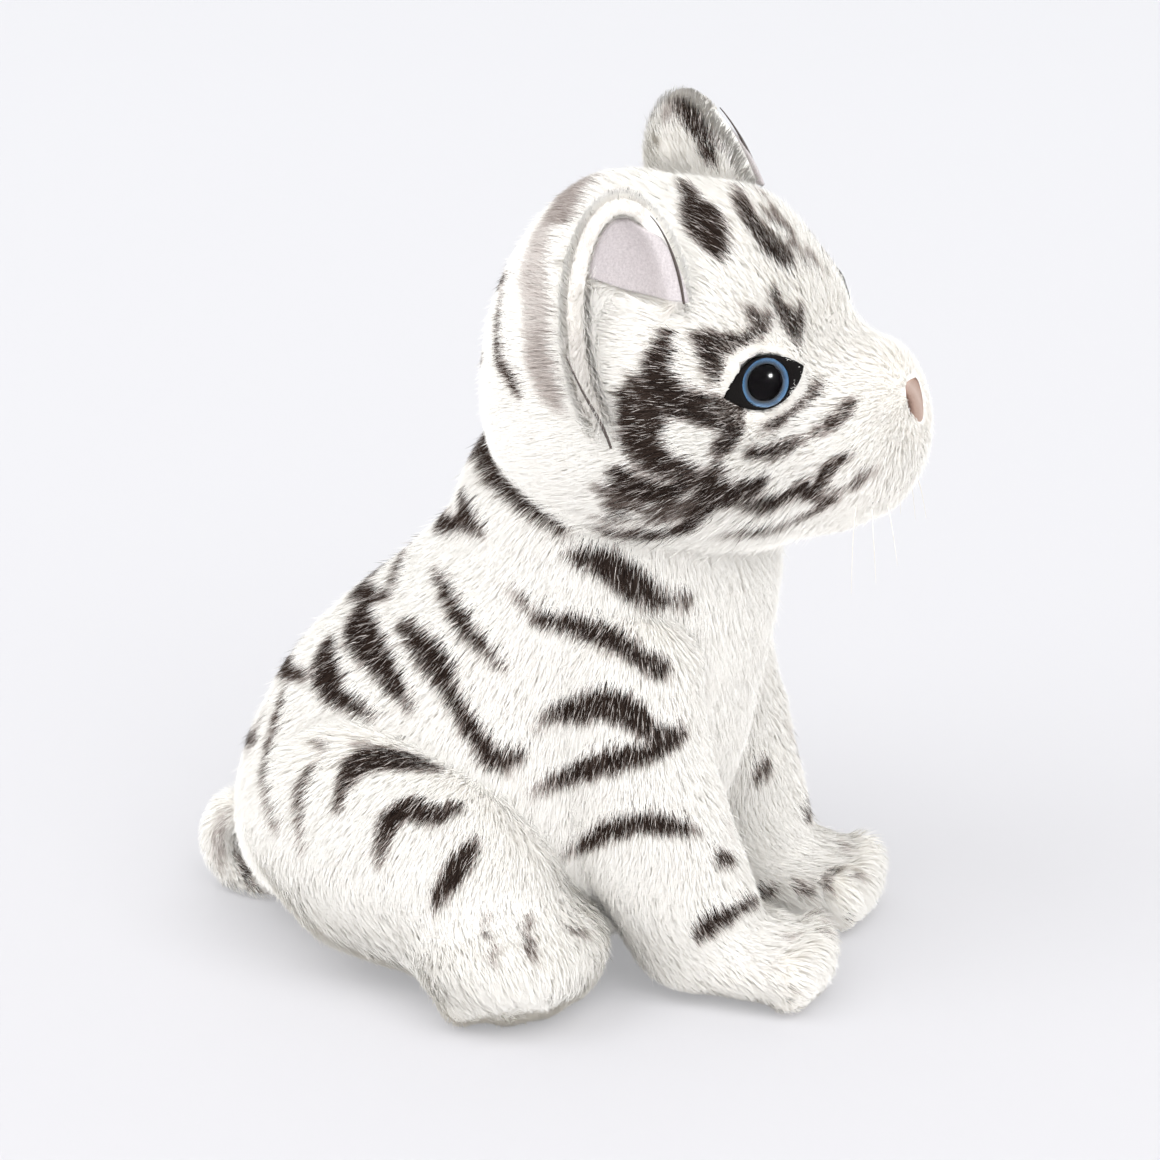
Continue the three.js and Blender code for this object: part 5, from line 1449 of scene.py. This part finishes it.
# from the eye to the outer edge of its cloth: the share of the way, and how far out of the face it lies
CLOTH_SHARE = np.array([0, 0.04, 0.35, 0.7, 0.96, 1.0])
CLOTH_LIFT = np.array([-0.55, -0.2, -0.1, -0.15, -0.35, -0.7])
CLOTH_BACK = -1.4


def eye_cloth(side, word):
    """The almond of dark cloth round an eye, bent to the face: two parabolas, turned by its roll."""
    across, out, up, centre = eye_frame(side)
    t = np.linspace(-1, 1, 33)
    top = np.stack([lid["length"] / 2 * t, lid["height"] / 2 * (1 - t**2)], axis=1)
    outline = np.concatenate([top, (top * [1, -1])[-2:0:-1]])
    roll = math.radians(-side * lid["roll"])
    outline = outline @ np.array([[math.cos(roll), math.sin(roll)], [-math.sin(roll), math.cos(roll)]])
    inner = outline / np.linalg.norm(outline, axis=1, keepdims=True) * (eye["radius"] + 0.05)
    ring = inner[None] + CLOTH_SHARE[:, None, None] * (outline - inner)[None]

    def on_face(lift):
        flat = ring.reshape(-1, 2)
        start = centre + flat[:, :1] * across + flat[:, 1:] * up
        on = seated(head_form.onto(start, out, 0.0, far=15))
        place = start + ((on - start) @ out)[:, None] * out
        return place.reshape(*ring.shape[:2], 3) + lift[:, None, None] * out
    loop = np.concatenate([on_face(CLOTH_LIFT), on_face(0 * CLOTH_LIFT + CLOTH_BACK)[::-1]])
    rings, sides = loop.shape[:2]
    r, s = np.arange(rings)[:, None], np.arange(sides)[None]
    here, there, after = r * sides, (r + 1) % rings * sides, (s + 1) % sides
    quads = np.stack([here + s, here + after, there + after, there + s], axis=-1).reshape(-1, 4)
    points = loop.reshape(-1, 3)
    cloth = mesh_of(f"eye_cloth_{word}", points, facing(points, quads, quads[: sides * 2], out))
    finish(cloth, "head", black_cloth, "black_cloth", f"eye_lid_{word}")


# across and up, as shares of the muzzle's half width and half height, and how far out
mouth = {"drop": (0.02, 0.42), "half": 0.6, "low": -0.40, "curl": 0.16, "lift": -1.7}


def mouth_piece():
    """The stitched mouth: a drop from the nose and a curl to each side, as a twisted thread."""
    def spot(across, up):
        start = (muzzle_form.origin + FORWARD * muzzle["length"] * 0.5
                 + np.array([across * muzzle["width"] / 2, 0, up * muzzle["height"] / 2]))
        return muzzle_form.onto(start[None], FORWARD, mouth["lift"], far=40)[0]
    top, fall = mouth["drop"]
    drop = [spot(0, top - fall * i / 8) for i in range(9)]
    curl = [spot(-mouth["half"] + 2 * mouth["half"] * i / 16,
                 mouth["low"] - mouth["curl"] * abs(math.cos(math.pi * i / 16))) for i in range(17)]
    piece = grid_piece("mouth_stitch", tube(drop, 0.4, 10, 60, 0.3, 14), tube(curl, 0.4, 10, 120, 0.3, 22))
    finish(piece, "head", dark_thread, "dark_thread", "mouth_thread")


# the seams of an ear: behind as pixels of the picture, in front as degrees round the rim from its front
EAR_SEAM_BACK = [(566, 359), (574, 377), (583, 395), (592, 411), (602, 426), (611, 450)]
EAR_SEAM_FRONT = (62, 9)
FRONT_INSET, FRONT_OUT, BACK_OUT = 2.0, 2.7, 1.9
EAR_THREAD = [0.14, 0.24, 0.4, 0.44, 0.34]  # its radius from the top down


def ear_thread(side, word, name):
    """A dark thread: in front on top of the rim, and behind along the seam that shows on the picture."""
    across, out, tip, centre = ear_frame(side)
    if name == "front":
        angle = np.radians(np.linspace(*EAR_SEAM_FRONT, 11))
        wide, high = ear["width"] / 2 - FRONT_INSET, ear["height"] / 2 - FRONT_INSET
        path = (centre + (side * wide * np.cos(angle))[:, None] * across + (high * np.sin(angle))[:, None] * tip
                + FRONT_OUT * out)
    else:
        dense = densified([(x, y, 1) for x, y in EAR_SEAM_BACK], 6)
        start = seen_at(dense[:, :2]) + VIEW_BACK * OUTSIDE
        path = np.array(dropped(EAR_BACK, start, -VIEW_BACK, dense[:, 2], 1))[:, :3]
        for _ in range(8):
            path[1:-1] = (path[:-2] + 2 * path[1:-1] + path[2:]) / 4
        path = (path + BACK_OUT * VIEW_BACK) * np.array([-side, 1, 1])
    piece = grid_piece(f"ear_stitch_{name}_{word}", tube(path, EAR_THREAD, 10, 140, 0.3, 26))
    finish(piece, "head", dark_thread, "dark_thread", f"ear_thread_{name}_{word}")


def ear_lining(side, word, rings=36, sides=36):
    """The felt in the top of an ear: a shell that follows the inner wall above one height, and covers
    the rim in front up to its seam."""
    across, out, tip, centre = ear_frame(side)
    wall = ear["wall"] + 0.1
    u = np.linspace(-1, 1, sides)[None, :]
    v = np.linspace(0, 1, rings)[:, None]

    def sheet_of(inset):
        """Across x = a u sqrt(1 - z squared), up z from a slanted line to the tip, at depth
        sqrt(1 - x2 - z2); in front x goes on over the rim."""
        a, c, d = ear["width"] / 2 - inset, ear["height"] / 2 - inset, ear["depth"] - inset
        low = ear["seam_up"] - ear["seam_slant"] * side * u
        z = (low + (0.985 * c - low) * v) / c
        round_ = np.sqrt(np.clip(1 - z**2, 0, 1))
        angle = np.degrees(np.arctan2(z, np.maximum(side * u * round_, 1e-6)))
        beyond = np.clip((76 - angle) / 22, 0, 1) * np.clip(side * u, 0, 1)
        x = u * round_ * 0.985 * (1 + beyond * (ear["width"] / 2 / a - 1.02))
        over = np.clip((np.abs(x) / np.maximum(round_, 1e-6) - 0.9) / 0.25, 0, 1) * beyond
        depth = np.sqrt(np.clip(1 - x**2 - z**2, 0, 1))
        rise = FRONT_OUT * soft_step(over) + inset - wall - ear["lining"]
        return centre + (a * x)[..., None] * across + (c * z)[..., None] * tip + (rise - d * depth)[..., None] * out
    points = np.concatenate([sheet_of(wall + ear["lining"]).reshape(-1, 3), sheet_of(wall).reshape(-1, 3)])
    r, s = np.arange(rings - 1)[:, None] * sides, np.arange(sides - 1)[None]
    face = np.stack([r + s, r + s + 1, r + sides + s + 1, r + sides + s], axis=-1).reshape(-1, 4)
    edge = np.concatenate([
        np.arange(sides), np.arange(1, rings) * sides + sides - 1, (rings - 1) * sides + np.arange(sides - 2, -1, -1),
        np.arange(rings - 2, 0, -1) * sides])
    other, after = rings * sides, np.roll(edge, -1)
    rim = np.stack([after, edge, edge + other, after + other], axis=-1)
    quads = np.concatenate([face, face[:, ::-1] + other, rim])
    piece = mesh_of(f"ear_felt_{word}", points, facing(points, quads, face, out))
    finish(piece, "head", felt, "ear_felt", f"ear_lining_{word}")


hair = {"along": 0.74, "apart": 0.07, "below": 32, "lower": 9, "sunk": 0.3, "length": 25, "shorter": 0.18,
        "radii": [0.13, 0.11, 0.05]}


def whisker(side, word, number):
    """A fine nylon hair that falls from the muzzle and thins to its tip: out 0.42 t - 0.16 t squared of
    its length, down 0.8 t squared + 0.1 t, and forward up to 0.24 t."""
    spread = number - 1
    place = muzzle["length"] * (hair["along"] + hair["apart"] * spread)
    angle = -math.radians(hair["below"] + hair["lower"] * number)
    turned = angle if side > 0 else math.pi - angle
    root = muzzle_form.point(place, turned, -hair["sunk"])
    away = unit(muzzle_form.point(place, turned, 0.5) - root)
    length = hair["length"] * (1 - hair["shorter"] * number)
    t = np.linspace(0, 1, 9)[:, None]
    path = (root + away * length * (0.42 * t - 0.16 * t**2) - UP * length * (0.8 * t**2 + 0.1 * t)
            + FORWARD * length * 0.12 * t * (1 + spread))
    piece = grid_piece(f"whisker_hair_{word}_{number + 1}", tube(path, hair["radii"], 6, 24))
    finish(piece, "head", whisker_nylon, "nylon", f"whisker_{word}_{number + 1}")


EAR_BACK = seen_surface(["skin_head", "skin_ear_right"])
nose_piece()
for word, side in HANDS.items():
    eye_glass(side, word)
    eye_cloth(side, word)
    for node, material in (
            ("eye_iris", iris_material(side)), ("eye_pupil", black_plastic), ("eye_stem", black_plastic),
            ("eye_washer", white_plastic)):
        data = nodes[f"{node}_{word}"].data
        data.materials.clear()
        data.materials.append(material)
mouth_piece()
for word, side in HANDS.items():
    ear_lining(side, word)
    ear_thread(side, word, "front")
    ear_thread(side, word, "back")
    for number in range(3):
        whisker(side, word, number)


# ---------------------------------------------------------------- floor, light and camera
FLOOR_SIZE = 6000.0
# the near and far colours are seen only by the viewer, and the darker near one is painted shade
FLOOR_NEAR, FLOOR_FAR, FLOOR_BOUNCE, FLOOR_LIGHT = (169, 168, 171), (174, 174, 177), (249, 248, 248), (253, 253, 255)
FLOOR_SPAN = (-0.15, 0.55)  # where the near colour ends and the far one begins, in metres
FLOOR_GLOW = 0.327  # painted light: a glow the floor shows of its own, which keeps its shadows pale
ROOM_COLOUR, ROOM_LIGHT = (0.985, 0.99, 1.0, 1), 0.995
# name: (size, power, way to it as right, up and toward the viewer, distance, whether cloth is lit by it)
LAMPS = {
    "front softbox": (2.2, 37.0, (0.28, 0.56, 0.78), 3000, True),
    "back softbox": (2.2, 30.0, (-0.5, 0.62, 0.6), 3000, True),
    "eye catch light": (0.5, 900.0, (0.7, 0.16, 0.69), 2800, False)}


def floor_material():
    """A pale sweep, with painted shade a little darker toward the viewer, that keeps the cub's soft shadow. Only the
    viewer sees these colours and the floor's glow, which is painted light: the cub is lit by a lighter floor."""
    material, tree, shader = new_material("pale floor")
    turned = added(tree, "Mapping", {
        "Vector": added(tree, "TexCoord").outputs["Object"], "Rotation": (0, 0, -VIEW_TURN)})
    parts = added(tree, "SeparateXYZ", {0: turned.outputs[0]}).outputs
    nearest, farthest = FLOOR_SPAN
    span = added(tree, "MapRange", {"From Min": nearest, "From Max": farthest, "Value": parts[1]}).outputs[0]
    seen = added(tree, "LightPath").outputs["Is Camera Ray"]
    mix = added(tree, "Mix", {
        "Factor": seen, "A": (*linear(*FLOOR_BOUNCE), 1),
        "B": ramp(tree, span, [(0.0, FLOOR_NEAR), (1.0, FLOOR_FAR)])}, data_type="RGBA")
    fed(tree, shader, {
        "Base Color": mix.outputs["Result"], "Emission Strength": maths(tree, "MULTIPLY", seen, FLOOR_GLOW),
        "Emission Color": (*linear(*FLOOR_LIGHT), 1), "Roughness": 0.9, "Specular IOR Level": 0.0})
    return material


def make_stage():
    """A wide floor, a bright room, two soft lamps and a small one that only shows in the eyes."""
    size = FLOOR_SIZE
    corners = np.array([[-size, -size, 0], [size, -size, 0], [size, size, 0], [-size, size, 0]])
    ground = mesh_of("floor", corners, [[0, 1, 2, 3]])
    ground.data.materials.append(floor_material())
    scene = bpy.context.scene
    world = bpy.data.worlds.new("room")
    scene.world = world
    world.use_nodes = True
    fed(world.node_tree, world.node_tree.nodes["Background"], {"Color": ROOM_COLOUR, "Strength": ROOM_LIGHT})
    middle = seen_at([(PHOTO_SIDE / 2, PHOTO_SIDE / 2)])[0]
    for name, (size, power, (right, up, toward), distance, lights_cloth) in LAMPS.items():
        lamp = bpy.data.lights.new(name, "AREA")
        lamp.shape, lamp.size, lamp.energy = "DISK", size, power
        lamp_object = bpy.data.objects.new(name, lamp)
        scene.collection.objects.link(lamp_object)
        lamp_object.visible_diffuse = lights_cloth
        way = unit(right * VIEW_RIGHT + up * VIEW_UP + toward * VIEW_BACK)
        turn = Vector(way).to_track_quat("Z", "Y").to_matrix().to_4x4()
        lamp_object.matrix_world = Matrix.Translation(Vector((middle + way * distance) * MM)) @ turn
    scene.view_settings.view_transform = "Standard"


make_stage()
